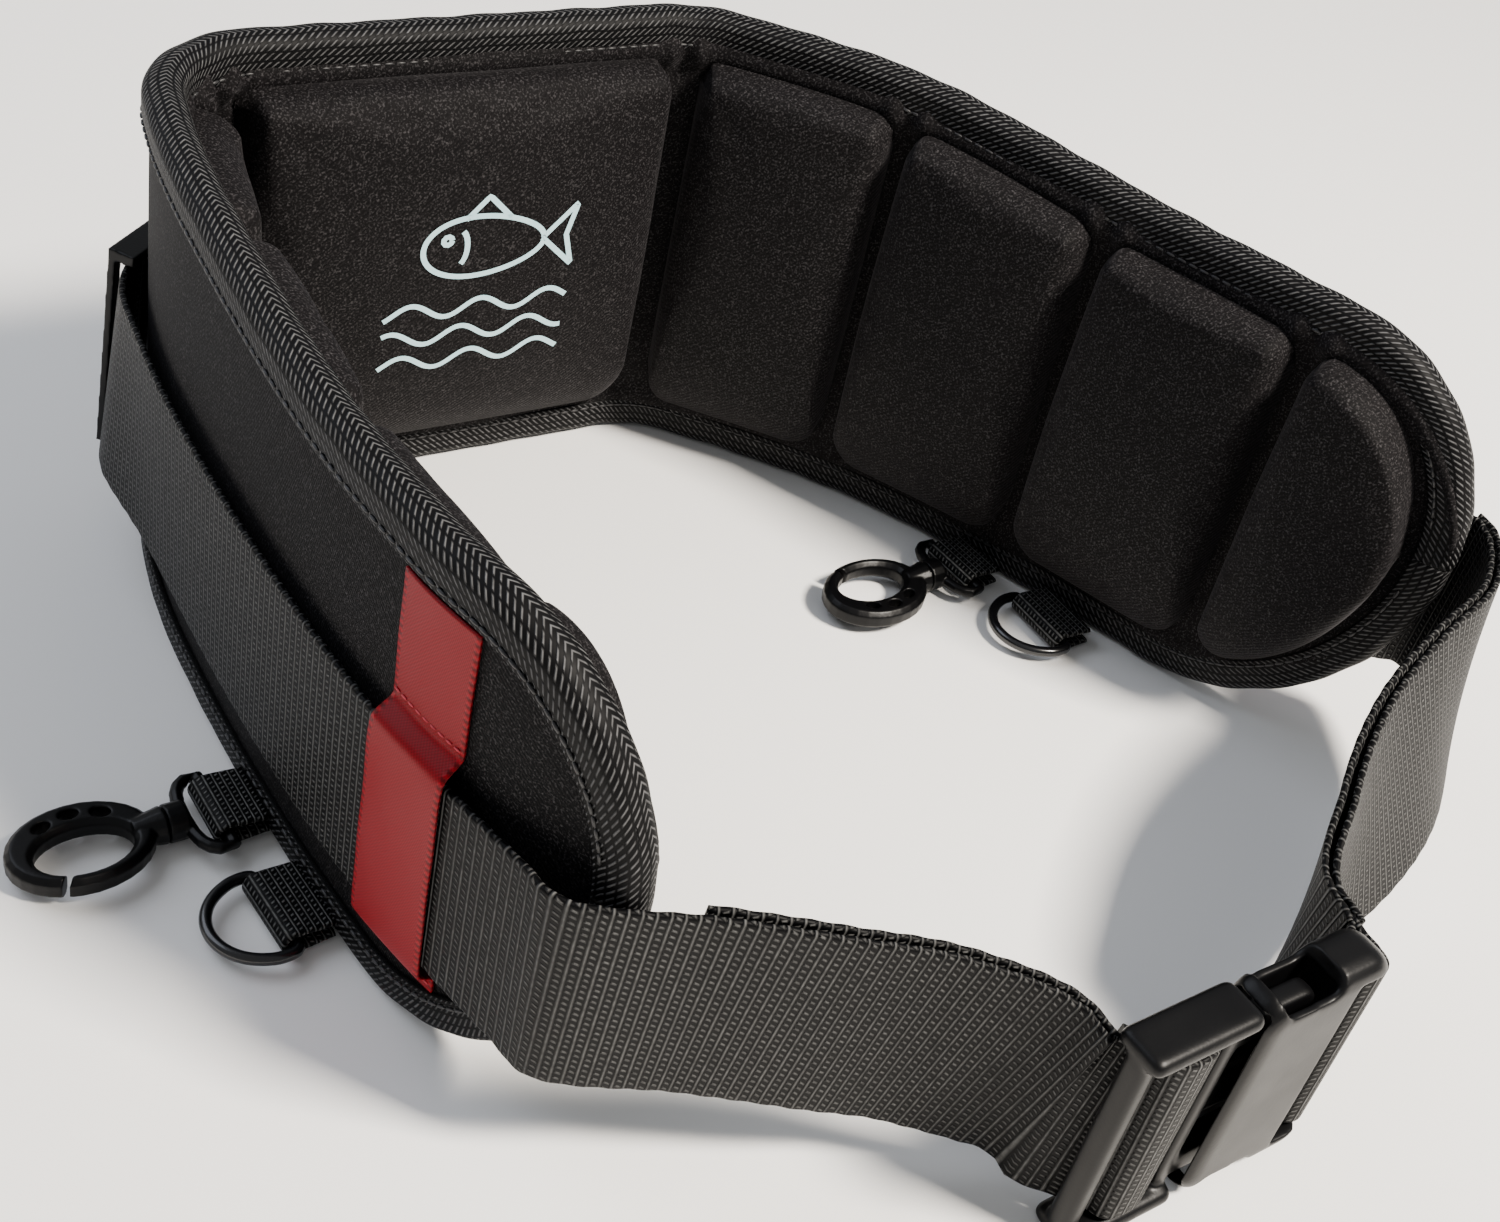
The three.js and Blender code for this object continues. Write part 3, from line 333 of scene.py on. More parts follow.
def make_knit(name, colour, light, lines, sheen):
    """Twill lines in patches over a dark ground, with painted glints at a third strength on top."""
    material, tree, surface = new_material(name, {
        "Roughness": 0.72, "IOR": 1.45, "Specular IOR Level": 0.1, "Sheen Weight": sheen,
        "Sheen Roughness": 0.4, "Sheen Tint": linear("#8f8c90")})
    weave = add_node(tree, "ShaderNodeUVMap", uv_map="weave")
    turned = add_node(tree, "ShaderNodeMapping", {"Vector": weave.outputs[0], "Rotation": (0, 0, TWILL_ANGLE)})
    rib = add_node(tree, "ShaderNodeTexWave", {
        "Vector": turned.outputs[0], "Scale": lines, "Distortion": 0.6, "Detail": 1.0, "Detail Scale": 3.0})
    speck_noise = noise(tree, 1900.0)
    cloth = mix(tree, maths(tree, "MULTIPLY", rib.outputs["Fac"], noise(tree, 28.0, 3.0)), colour, light)
    # Painted glints: light specks where the fine noise is high, at a third strength.
    painted_glint = maths(tree, "MULTIPLY", between(tree, speck_noise, 0.52, 0.8), 0.3)
    finish(tree, surface, mix(tree, painted_glint, cloth, GLINT_SPECK_COLOUR),
           maths(tree, "ADD", rib.outputs["Fac"], speck_noise), 0.22, 0.0003)
    return material


lining = make_knit("laminated_knit", "#070607", "#121011", 290.0, 0.12)
outer_cloth = make_knit("smooth_outer_knit", "#030304", "#08080a", 360.0, 0.04)
print("knit materials:", lining.name, outer_cloth.name)

# %% [markdown]
# ### Polypropylene webbing
# Heavy webbing has cords across its width, one every 2.5 mm. Between two cords the
# yarns show as a column of beads. Both come from sines of the UV lengths. The colour
# is black, with a painted highlight on the cords and beads and painted shade between them.

# %% Webbing material
def make_webbing(name, pitch, bead, dark, light):
    """Cords where sin(along) is high, beads of sin(across + along / 2) where it is low; both get a painted
    highlight, with painted shade between.
    """
    material, tree, surface = new_material(name, {"Roughness": 0.5, "IOR": 1.49, "Specular IOR Level": 0.1})
    along, across = along_and_across(tree)
    along, across = turned_by(tree, along, pitch), turned_by(tree, across, bead)
    cord = maths(tree, "SINE", along)
    beads = maths(tree, "SINE", maths(tree, "MULTIPLY_ADD", along, 0.5, across))
    ridge = between(tree, cord, 0.55, 1.0)
    between_cords = maths(tree, "MULTIPLY", between(tree, cord, 0.2, -0.7), between(tree, beads, 0.1, 0.9))
    both = maths(tree, "MAXIMUM", ridge, between_cords)
    # Painted highlight on the cords and beads, broken by noise; the dark between is painted shade.
    painted_yarn_light = maths(tree, "MULTIPLY", both, noise(tree, 700.0))
    finish(tree, surface, mix(tree, painted_yarn_light, dark, light), both, 0.9, 0.0007)
    return material


# Dark ground and painted highlight colour of each webbing.
webbing = make_webbing("polypropylene_webbing", 0.0025, 0.0016, "#020203", "#676766")
narrow_webbing = make_webbing("narrow_webbing", 0.0019, 0.0014, "#030304", "#8a8a88")
print("webbing materials:", webbing.name, narrow_webbing.name)

# %% [markdown]
# ### Herringbone tape
# The edges are bound with a twill tape. Its diagonal ribs meet in a V along the middle,
# and each rib is broken into short floats of yarn. The floats carry a painted highlight,
# and the dark between them is painted shade.

# %% Tape material
TAPE_HALF = 0.0135
RIB_PITCH, FLOAT_PITCH = 0.0019, 0.0022


def make_tape():
    """Ribs of sin(along + 1.1 |across|), cut into floats by a second wave of |across|; painted highlight on the
    floats.
    """
    material, tree, surface = new_material("herringbone_tape", {
        "Roughness": 0.55, "IOR": 1.49, "Specular IOR Level": 0.1})
    along, across = along_and_across(tree)
    side = maths(tree, "ABSOLUTE", maths(tree, "SUBTRACT", across, TAPE_HALF))
    rib = stripes(tree, maths(tree, "MULTIPLY_ADD", side, 1.1, along), RIB_PITCH)
    dash = stripes(tree, side, FLOAT_PITCH)
    both = maths(tree, "MULTIPLY", between(tree, rib, 0.1, 1.0), between(tree, dash, -1.0, -0.3))
    # Painted highlight on the floats, broken by noise; the dark between is painted shade.
    painted_yarn_light = maths(tree, "MULTIPLY", both, noise(tree, 500.0))
    finish(tree, surface, mix(tree, painted_yarn_light, "#040405", "#747475"), both, 0.8, 0.0005)
    return material


tape = make_tape()
print("tape material:", tape.name)

# %% [markdown]
# ### Satin ribbon
# The keepers are red polyester satin. Long floats along the ribbon make it bright, and
# fine weft lines cross it. Each selvedge is a row of small loops.

# %% Ribbon material
KEEPER_WIDTH = 22.0
WEFT_PITCH, WARP_PITCH = 0.0009, 0.0008


def make_ribbon():
    """Product of weft and warp waves, with loops of twice the weft's pitch on the last millimetre."""
    material, tree, surface = new_material("red_satin_ribbon", {
        "Roughness": 0.42, "IOR": 1.5, "Specular IOR Level": 0.14, "Sheen Weight": 0.03,
        "Sheen Tint": linear("#ff5a5a"), "Anisotropic": 0.4})
    along, across = along_and_across(tree)
    cloth = maths(tree, "MULTIPLY", stripes(tree, along, WEFT_PITCH), stripes(tree, across, WARP_PITCH))
    half = KEEPER_WIDTH / 2000
    side = maths(tree, "ABSOLUTE", maths(tree, "SUBTRACT", across, half))
    selvedge = between(tree, side, half - 0.0014, half - 0.0008)
    loops = maths(tree, "MULTIPLY", stripes(tree, along, 2 * WEFT_PITCH), selvedge)
    tone = maths(tree, "MULTIPLY_ADD", cloth, 0.22, 0.4)
    total = maths(tree, "MULTIPLY_ADD", loops, 0.5, tone, use_clamp=True)
    finish(tree, surface, mix(tree, total, "#540007", "#980016"), total, 0.35, 0.0002)
    return material


ribbon_red = make_ribbon()
print("ribbon material:", ribbon_red.name)

# %% [markdown]
# ### Moulded plastic, painted wire, thread and print
# The buckle, hooks and slide are acetal from a spark-eroded mould, so they are satin
# with a fine grain. The D-rings are painted steel wire. The print on the back pad is a
# pale ink on top of the knit.

# %% Hard materials
def make_moulded():
    """Satin plastic: slow flow marks change colour and roughness, and a fine grain gives the bump."""
    material, tree, surface = new_material("moulded_acetal", {"IOR": 1.48, "Specular IOR Level": 0.2})
    flow = noise(tree, 60.0, 4.0)
    rough = add_node(tree, "ShaderNodeMapRange", {"Value": flow, "To Min": 0.27, "To Max": 0.48})
    tree.links.new(rough.outputs[0], surface.inputs["Roughness"])
    finish(tree, surface, mix(tree, flow, "#030304", "#070708"), noise(tree, 1400.0), 0.25, 0.0001)
    return material


def make_plain(name, start, end, roughness, scale, distance, coat=0.0):
    """Finish with a little colour variation and grain from one noise."""
    material, tree, surface = new_material(name, {"Roughness": roughness, "Coat Weight": coat})
    grain = noise(tree, scale, 3.0)
    finish(tree, surface, mix(tree, grain, start, end), grain, 0.3, distance)
    return material


moulded = make_moulded()
wire = make_plain("black_painted_wire", "#08080a", "#101013", 0.24, 300.0, 0.0001, coat=0.25)
thread = make_plain("polyester_thread", "#0d0d0e", "#2c2c2e", 0.5, 900.0, 0.0002)
red_thread = make_plain("red_thread", "#8c0a16", "#d04050", 0.5, 900.0, 0.0002)
ink = make_plain("screen_print_ink", "#a9d6e0", "#c9e9ef", 0.5, 700.0, 0.0001)
print("materials:", [m.name for m in bpy.data.materials])

# %% [markdown]
# ## Camera
# The photograph looks down on the belt from the front left, about 38 degrees above the
# floor, and the camera is rolled 14 degrees. The lens is 48 mm on a 36 mm sensor.

# %% Camera
ELEVATION = math.radians(38.5)
AZIMUTH = math.radians(-40)
ROLL = math.radians(14)
DISTANCE = 540.0

turn = np.array([[math.cos(AZIMUTH), -math.sin(AZIMUTH), 0], [math.sin(AZIMUTH), math.cos(AZIMUTH), 0], [0, 0, 1]])
forward = turn @ [0, math.cos(ELEVATION), -math.sin(ELEVATION)]
level = turn @ [1, 0, 0]
upward = np.cross(level, forward)
right = math.cos(ROLL) * level + math.sin(ROLL) * upward
up = -math.sin(ROLL) * level + math.cos(ROLL) * upward
place = (SHIFT - DISTANCE * forward) / 1000

camera = new_object("camera", bpy.data.cameras.new("camera"))
camera.matrix_world = Matrix([[right[k], up[k], -forward[k], place[k]] for k in range(3)] + [[0, 0, 0, 1]])
camera.data.lens = 48
camera.data.sensor_width = 36
camera.data.clip_start = 0.01
bpy.context.scene.camera = camera
print("camera at", np.round(place, 3))

# %% [markdown]
# ## Floor and light
# A plain pale floor and a pale sky keep the black cloth readable. One broad warm light
# stands high on the front right and brings out the weave. A weak one from the back left
# fills the shadows.

# %% Floor, world and lights
bpy.ops.mesh.primitive_plane_add(size=12, location=(0, 0, -0.0002))
floor = bpy.context.object
floor.name = "floor"
floor.data.materials.append(make_plain("pale_paper", "#fbfaf7", "#fdfcfa", 0.9, 3.0, 0.0001))

world = bpy.data.worlds.new("pale_sky")
bpy.context.scene.world = world
world.use_nodes = True
world.node_tree.nodes["Background"].inputs["Color"].default_value = linear("#f2f4f7")
world.node_tree.nodes["Background"].inputs["Strength"].default_value = 0.46


def area_light(name, place, aim, size, power, colour):
    """Square light at a place, pointed at another."""
    lamp = bpy.data.lights.new(name, "AREA")
    lamp.size, lamp.energy, lamp.color = size, power, linear(colour)[:3]
    made = new_object(name, lamp)
    made.location = place
    made.rotation_euler = (Vector(aim) - Vector(place)).to_track_quat("-Z", "Y").to_euler()


area_light("key", (0.55, -0.75, 1.25), (0, 0, 0.05), 0.3, 70, "#fff6ea")
area_light("back_fill", (-0.6, 0.7, 0.9), (0, 0, 0.05), 0.9, 7, "#e9f0ff")
print("floor, sky and two lights")

# %% [markdown]
# ## The panel
# The panel is cloth on both faces with foam between. Between the binding and the pads
# the lining swells into a soft rim. Above every gap between two pads a small tuck
# crosses the rim, and at the tight back corner the spare cloth gathers in folds. All
# of this is a height added to the inner face, as a function of `s` and height.

# %% Pad places
PAD_RISE = 15.0
BACK_PAD = 114.0
BACK_GAP = 17.0
PAD_GAP = 8.0
PAD_LENGTHS = (54.0, 53.0, 52.0)
END_RIM = 12.0

pads = [("back_pad", -BACK_PAD / 2, BACK_PAD / 2, 0)]
gaps = []
for side_name, side in (("left", -1), ("right", 1)):
    start = BACK_PAD / 2 + BACK_GAP
    gaps.append(side * (start - BACK_GAP / 2))
    for number, length in enumerate((*PAD_LENGTHS, HALF_LENGTH - END_RIM), 1):
        end = start + length if number < 4 else length
        pads.append((f"{side_name}_pad_{number}", *sorted((side * start, side * end)), side if number == 4 else 0))
        if number < 4:
            gaps.append(side * (end + PAD_GAP / 2))
        start = end + PAD_GAP
print(len(pads), "pads and", len(gaps), "gaps")

# %% [markdown]
# The two faces are one closed grid, so the foam's thickness is real. The tape hides the
# turn at the edges. Each swelling is a bell curve of the distance to its middle.

# %% Panel surface
RIM_INSET = 10.5
RIM_RISE = (2.6, 1.4)
TUCK_DEPTH = 1.3
CORNER_PLACE = -70.0
FOLD_RISE = (1.6, 0.8)


def bell(x, centre, spread):
    """exp(-((x - centre) / spread) ** 2)"""
    return np.exp(-((x - centre) / spread) ** 2)


def lining_relief(s, height):
    """Swelling of the lining: a roll along the rim, a tuck over each gap and folds at the corner, in mm."""
    low, high = edges_at(s)
    from_top, from_low = high - height, height - low
    rim = RIM_RISE[0] * bell(from_top, RIM_INSET, 4.2) + RIM_RISE[1] * bell(from_low, RIM_INSET, 3.5)
    tuck = np.zeros_like(rim)
    for centre in gaps:
        fold = bell(s, centre, 1.7) - 0.8 * bell(abs(s - centre), 5, 2.2)
        tuck -= TUCK_DEPTH * fold * bell(from_top, 10, 6)
    corner = bell(s, CORNER_PLACE, 15) * bell(from_top, 15, 9)
    past = s - CORNER_PLACE
    folds = corner * (FOLD_RISE[0] * np.sin(0.55 * past + 0.35 * from_top)
                      + FOLD_RISE[1] * np.sin(1.1 * past - 0.5 * from_top))
    soft = 0.35 * np.sin(0.09 * s + 0.7) * np.sin(0.06 * height + 0.02 * s)
    return rim + tuck + folds + soft


PANEL_ROWS, RELIEF_CAP = 80, 8.0
END_INSET, EDGE_INSET = 2.4, 2.2


def make_panel():
    """Closed strip: the outer face from low to high, then the inner face back down; the tape hides its edges."""
    s = np.concatenate([np.linspace(-HALF_LENGTH + END_INSET, -240, 60), np.linspace(-239, 239, 420),
                        np.linspace(240, HALF_LENGTH - END_INSET, 60)])[:, None]
    low, high = edges_at(s)
    low, high = low + EDGE_INSET, high - EDGE_INSET
    share = np.linspace(0, 1, PANEL_ROWS)
    height = low + (high - low) * share
    inner = THICKNESS + np.minimum(lining_relief(s, height), RELIEF_CAP) * np.minimum(1, np.minimum(share, 1 - share) * 40)
    outer = 0.12 * np.sin(0.05 * s + 0.04 * height)
    rings = np.concatenate([on_belt(s, outer, height), on_belt(s, inner, height)[:, ::-1]], 1)
    uv = np.stack(np.broadcast_arrays(s, height), -1) / 1000
    return tube_surface("panel_cloth", rings, np.concatenate([uv, uv[:, ::-1]], 1))


panel = make_panel()
dress(panel, lining, "belt", "panel_fabric", "panel")
panel.data.materials.append(outer_cloth)
in_ring = np.arange(len(panel.data.polygons)) % (2 * PANEL_ROWS)
panel.data.polygons.foreach_set("material_index", (in_ring < PANEL_ROWS).astype(int))
print("panel faces:", len(panel.data.polygons))

# %% [markdown]
# ## Pads
# Each pad is a block of foam under the stretched lining. Its face is a little crowned, its
# edge rolls over in a radius of about 5 mm, and its sides go down to the valley. The
# rise depends on the distance to the pad's outline, and the lower side slopes in softly,
# which leaves room for a ring that is turned up. A short cloth simulation with some
# pressure then gives the faces their swell.

# %% Pad surfaces
ROLL_RADIUS, ROLL_POWER = 5.0, 2.3
SWELL_FRAMES, SWELL_PRESSURE = 20, 4
CROWN = (0.13, 0.09)
EASE_OUT = 1.3
TOP_MARGIN, LOW_MARGIN = 11.5, 12.0
TOP_CORNER, LOW_CORNER = 5.0, 10.0


def pad_outline(s, start, end, side):
    """Lower and upper edge of the pad at s, before its corners are rounded."""
    if side == 0:
        return np.full_like(s, LOW_MARGIN), top_edge(s) - TOP_MARGIN
    near, far = (start, end) if side > 0 else (-end, -start)
    to_tip = np.clip((abs(s) - near) / (far - near), 0, 1) ** 2
    low, high = edges_at(np.minimum(abs(s) + END_RIM * to_tip, HALF_LENGTH))
    low, high = low + LOW_MARGIN, high - TOP_MARGIN
    middle = (low + high) / 2
    return np.minimum(low, middle - 1), np.maximum(high, middle + 1)


def make_pad(name, start, end, side, count=48):
    """Grid over the outline, closed behind.

    At distance d from the edge the rise is (1 - (1 - d / R) ** p) ** (1 / p), and at most
    sqrt(1 - v ** 4) where v runs from 0 in the middle to -1 at the lower edge.
    """
    start, end = start - EASE_OUT * (side >= 0), end + EASE_OUT * (side <= 0)
    rows = int(count * max(1, (end - start) / 70))
    crowd = lambda n: 0.55 * np.linspace(-1, 1, n) + 0.45 * np.sin(np.pi / 2 * np.linspace(-1, 1, n))
    u, v = crowd(rows), crowd(2 * count)
    s = ((start + end) / 2 + (end - start) / 2 * u)[:, None] * np.ones_like(v)
    low, high = pad_outline(s, start, end, side)

    def corner(radius):
        blunt = np.array([start + radius, end - radius])
        if side:
            blunt[1 if side > 0 else 0] += side * 60
        past = np.maximum(0, np.maximum(blunt[0] - s, s - blunt[1]))
        return radius - np.sqrt(np.maximum(0, radius ** 2 - past ** 2))

    low, high = low + corner(LOW_CORNER), high - corner(TOP_CORNER)
    half = np.maximum((high - low) / 2, 0.5)
    height = (low + high) / 2 + half * v
    edge_s, edge_z = np.minimum(s - start, end - s), half * (1 - abs(v))
    near_edge = np.hypot(np.maximum(0, 1 - edge_s / ROLL_RADIUS), np.maximum(0, 1 - edge_z / ROLL_RADIUS))
    roll = np.maximum(0, 1 - np.minimum(1, near_edge) ** ROLL_POWER) ** (1 / ROLL_POWER)
    roll = np.minimum(roll, np.sqrt(1 - np.minimum(v, 0) ** 4))
    crown = 1 - CROWN[0] * abs(u)[:, None] ** 2.2 - CROWN[1] * abs(v) ** 2.2
    depth = THICKNESS + 0.3 + (PAD_RISE - 0.2) * roll * crown
    points = np.concatenate([on_belt(s, d, height).reshape(-1, 3) for d in (depth, THICKNESS + 0.2)])
    faces = grid_faces(*s.shape)
    across = s.shape[1]
    rim = np.concatenate([np.arange(across), np.arange(1, rows) * across + across - 1,
                          (rows - 1) * across + np.arange(across - 2, -1, -1), np.arange(rows - 2, 0, -1) * across])
    walls = np.stack([rim, np.roll(rim, -1), np.roll(rim, -1) + s.size, rim + s.size], 1)
    uv = np.stack([s, height], -1).reshape(-1, 2) / 1000
    made = mesh_object(name, points, np.concatenate([faces, faces[:, ::-1] + s.size, walls[:, ::-1]]),
                       np.concatenate([uv, uv]))
    face_outward(made)
    return made


SWELL_CAP = 2.2
STILL_HEIGHT, FADE_HEIGHT = 16.0, 24.0


def swell(piece):
    """Cloth with pressure and no gravity for 20 frames; moves are capped, in mm, and fade out near the floor."""
    rest, moved = np.empty((2, len(piece.data.vertices) * 3))
    piece.data.vertices.foreach_get("co", rest)
    pin = piece.vertex_groups.new(name="pin")
    half = len(piece.data.vertices) // 2
    pin.add(list(range(half, 2 * half)), 1.0, "REPLACE")
    cloth = piece.modifiers.new("cloth", "CLOTH")
    cloth.settings.use_pressure = True
    cloth.settings.uniform_pressure_force = SWELL_PRESSURE
    cloth.settings.effector_weights.gravity = 0
    cloth.settings.vertex_group_mass = "pin"
    cloth.settings.quality = 4
    cloth.point_cache.frame_start, cloth.point_cache.frame_end = 1, SWELL_FRAMES
    for step in range(1, SWELL_FRAMES + 1):
        bpy.context.scene.frame_set(step)
    shaped = piece.evaluated_get(bpy.context.evaluated_depsgraph_get())
    shaped.data.vertices.foreach_get("co", moved)
    piece.modifiers.remove(cloth)
    bpy.context.scene.frame_set(1)
    rest, moved = rest.reshape(-1, 3), moved.reshape(-1, 3)
    change = moved - rest
    size = np.linalg.norm(change, axis=1, keepdims=True) * 1000
    change *= np.minimum(1, SWELL_CAP / np.maximum(size, 1e-6))
    change *= ease((rest[:, 2:] * 1000 - STILL_HEIGHT) / FADE_HEIGHT)
    change[half:] = 0
    piece.data.vertices.foreach_set("co", (rest + change).ravel())
    piece.data.update()
    return float(size.max())


pad_pieces = {}
for name, start, end, side in pads:
    piece = make_pad(name + "_cloth", start, end, side)
    dress(piece, lining, "belt", "pad_fabric", name)
    print(name, "swelled up to", round(swell(piece), 1), "mm")
    pad_pieces[name] = piece
print("pads:", len(pad_pieces))

# %% [markdown]
# ## Binding
# The tape is folded over the raw edge and sewn through. Its section is a U with a round
# back. It is swept along the edge line, and the needle pulls it down at each stitch.

# %% Edge lines
TIP_GAP = 0.15


def edge_line(upper, step=1.6):
    """Even points along the upper or lower edge as (s, height), with the outward direction at each."""
    angle = np.radians(np.linspace(0, 90, 90))
    nose = NOSE_HIGH if upper else NOSE_LOW
    end = HALF_LENGTH - nose + nose * np.sin(angle)
    s = np.concatenate([-end[::-1], np.linspace(-HALF_LENGTH + nose, HALF_LENGTH - nose, 300)[1:-1], end])
    low, high = edges_at(s)
    line = np.stack([s, high if upper else low], 1)
    line[[0, -1], 1] += TIP_GAP if upper else -TIP_GAP
    line = resample(line, step)
    way = unit(np.gradient(line, axis=0))
    out = np.stack([-way[:, 1], way[:, 0]], 1) * (1 if upper else -1)
    return line, out


BINDING_WIDTH = 10.0
SEAM_INSET, STITCH = 8.4, 3.2
OUTER_DEPTH, INNER_DEPTH = -1.7, THICKNESS + 1.7
BACK_DEPTH, FOLD_INSET = 3.4, 2.1
INNER_GAP = 0.35


def binding_section():
    """Closed U in (inset, depth): flat wings, a round back of half the thickness, and the inside."""
    middle, radius = (OUTER_DEPTH + INNER_DEPTH) / 2, (INNER_DEPTH - OUTER_DEPTH) / 2
    angle = np.radians(np.linspace(-90, 90, 19))
    back = np.stack([BACK_DEPTH * (1 - np.cos(angle)), middle + radius * np.sin(angle)], 1)
    wing = np.linspace(BINDING_WIDTH, 4.2, 7)
    outside = np.concatenate([np.stack([wing, np.full(7, OUTER_DEPTH)], 1), back,
                              np.stack([wing[::-1], np.full(7, INNER_DEPTH)], 1)])
    outside[[0, -1], 1] += [INNER_GAP, -INNER_GAP]
    inside = [[BINDING_WIDTH, THICKNESS + INNER_GAP], [FOLD_INSET, THICKNESS + INNER_GAP],
              [FOLD_INSET, -INNER_GAP], [BINDING_WIDTH, -INNER_GAP]]
    return outside, np.array(inside)


def make_binding(name, upper):
    """Tape along one edge: the section, rippled and pulled down at the needle's holes."""
    line, out = edge_line(upper)
    outside, inside = binding_section()
    section = np.concatenate([outside, inside])
    run = lengths(line)
    on_wing = abs(section[:, 1] - THICKNESS / 2) > THICKNESS / 2 + 0.8
    pull = bell(section[:, 0], SEAM_INSET, 0.9) * on_wing
    needle = 0.5 + 0.5 * np.cos(2 * np.pi * run / STITCH)
    ripple = 0.22 * np.sin(run / 2.7) * np.sin(run / 11.3)
    inset = section[:, 0] + ripple[:, None] * (section[:, 0] < 9)
    toward = np.sign(THICKNESS / 2 - section[:, 1])
    depth = section[:, 1] + (0.25 + 0.3 * needle[:, None]) * pull * toward
    flat = line[:, None, :] - out[:, None, :] * inset[..., None]
    rings = on_belt(flat[..., 0], depth, np.maximum(flat[..., 1], 0.02))
    around = np.append(lengths(outside), np.full(len(inside), lengths(outside)[-1]))
    uv = np.stack(np.broadcast_arrays(run[:, None], around), -1) / 1000
    return tube_surface(name, rings, uv)


for name, upper in (("binding_upper", True), ("binding_lower", False)):
    piece = make_binding(name + "_tape", upper)
    dress(piece, tape, "belt", "binding_tape", name)
    print(name, "faces", len(piece.data.polygons), "length", round(lengths(edge_line(upper)[0])[-1]))

# %% [markdown]
# ## Stitches
# A lockstitch shows as short raised threads with a hole between two of them. One small
# six-sided capsule is placed hundreds of times, all in one array.

# %% Stitch helper
def capsule(length, radius):
    """Little thread along x: three rings of six points and two ends, as points and faces."""
    x = np.array([-0.5, -0.36, 0, 0.36, 0.5]) * length
    r = np.array([0.25, 0.8, 1.0, 0.8, 0.25]) * radius
    angle = np.arange(6) * np.pi / 3
    points = np.stack([np.repeat(x, 6), np.outer(r, np.cos(angle)).ravel(), np.outer(r, np.sin(angle)).ravel()], 1)
    faces = grid_faces(5, 6, close_columns=True).tolist()
    return points, [f[::-1] for f in faces] + [list(range(6)), list(range(24, 30))[::-1]]


def stitches(name, centres, along, normal, length, radius, material, slot):
    """A capsule at each centre, its x axis along the seam and its z axis off the cloth."""
    single, faces = capsule(length, radius)
    along = unit(along)
    normal = unit(normal - along * np.sum(normal * along, 1, keepdims=True))
    across = np.cross(normal, along)
    basis = np.stack([along, across, normal], 1)
    points = centres[:, None, :] + np.einsum("kj,njc->nkc", single, basis)
    shift = np.arange(len(centres)) * len(single)
    every = [[i + k for i in f] for k in shift for f in faces]
    dress(mesh_object(name, points, every), material, "belt", slot)


centres, ways, normals = [], [], []
for upper in (True, False):
    line, out = edge_line(upper, STITCH)
    seam = line - out * SEAM_INSET
    keep = slice(4, -4)
    for depth, sign in ((OUTER_DEPTH + 0.1, -1), (INNER_DEPTH - 0.1, 1)):
        points = on_belt(seam[:, 0], depth, seam[:, 1])
        off = on_belt(seam[:, 0], depth + sign, seam[:, 1]) - points
        centres.append(points[keep])
        ways.append(np.gradient(points, axis=0)[keep])
        normals.append(off[keep])
stitches("binding_stitches", *map(np.concatenate, (centres, ways, normals)), 2.5, 0.42, thread, "binding_tape")
print("stitches:", sum(map(len, centres)))

# %% [markdown]
# ## Straps
# A strap is one flat ribbon swept along its centre line. The section is a thin rounded
# rectangle whose width ripples a little. The line is worked out in stretches: along the
# belt, freely to the buckle, round a bar and back over itself.

# %% Ribbon sweep
WEBBING_WIDTH, WEBBING = 50.0, 1.6
STRAP_HEIGHT = 50.0
CLEARANCE = 0.3
SELVEDGE_RIPPLE = 0.3
TAPE_RISE = 2.0
BULGE, BULGE_PLACE, BULGE_SPREAD = 6.5, 76.25, 30.5
LEAN, LEAN_PLACE, LEAN_SPREAD = np.radians(6), -88.45, 24.4


def ribbon_section(width, thickness, count=26):
    """Flat section in (across, through): two faces with rounded edges."""
    a = np.linspace(-1, 1, count)
    edge = thickness * 0.5
    across = a * (width / 2 - edge)
    turn = np.radians(np.linspace(-60, 60, 5))
    end = width / 2 - edge + edge * np.cos(turn)
    return np.concatenate([
        np.stack([across, np.full(count, edge)], 1), np.stack([end[::-1], edge * np.sin(turn[::-1])], 1),
        np.stack([across[::-1], np.full(count, -edge)], 1), np.stack([-end, edge * np.sin(turn)], 1)])


def sweep_ribbon(name, centre, across, width, thickness, wobble=0.0):
    """Ribbon along a line; wide = across made square to the line, thick = line x wide."""
    way = unit(np.gradient(centre, axis=0))
    wide = unit(across - way * np.sum(across * way, 1, keepdims=True))
    thick = np.cross(way, wide)
    section = ribbon_section(width, thickness)
    run = lengths(centre)
    edge = 1 + wobble * np.sin(run / 1.05) / width
    rings = (centre[:, None] + wide[:, None] * section[:, :1] * edge[:, None, None]
             + thick[:, None] * section[:, 1:])
    uv = np.stack(np.broadcast_arrays(run[:, None], section[:, 0] + width / 2), -1) / 1000
    return tube_surface(name, rings, uv)


def strap_depth(s):
    """Depth of the webbing's middle: clear of the binding, with a bulge where it rounds the back corners."""
    return -(CLEARANCE + TAPE_RISE + WEBBING / 2 + BULGE * bell(abs(s), BULGE_PLACE, BULGE_SPREAD))


UP = np.array([0.0, 0.0, 1.0])


def lay_strap(node, line, across):
    """Webbing of the strap along a line, in place of a node of the model."""
    piece = sweep_ribbon(node + "_webbing", line, across, WEBBING_WIDTH, WEBBING, SELVEDGE_RIPPLE)
    dress(piece, webbing, "belt", "black_webbing", node)
    print(piece.name, len(piece.data.polygons), "faces")


s = np.arange(-251.8, 251.9, 1.2)
back_line = on_belt(s, strap_depth(s), STRAP_HEIGHT)
inward = on_belt(s, 1, 0) - on_belt(s, 0, 0)
lean = LEAN * bell(s, LEAN_PLACE, LEAN_SPREAD)[:, None]
back_across = UP * np.cos(lean) + inward * np.sin(lean)
lay_strap("strap_back", back_line, back_across)

# %% [markdown]
# The left run leaves the arm, drops to the buckle's height and passes the male frame's
# middle bar. Its tail comes back behind it at one layer's distance.

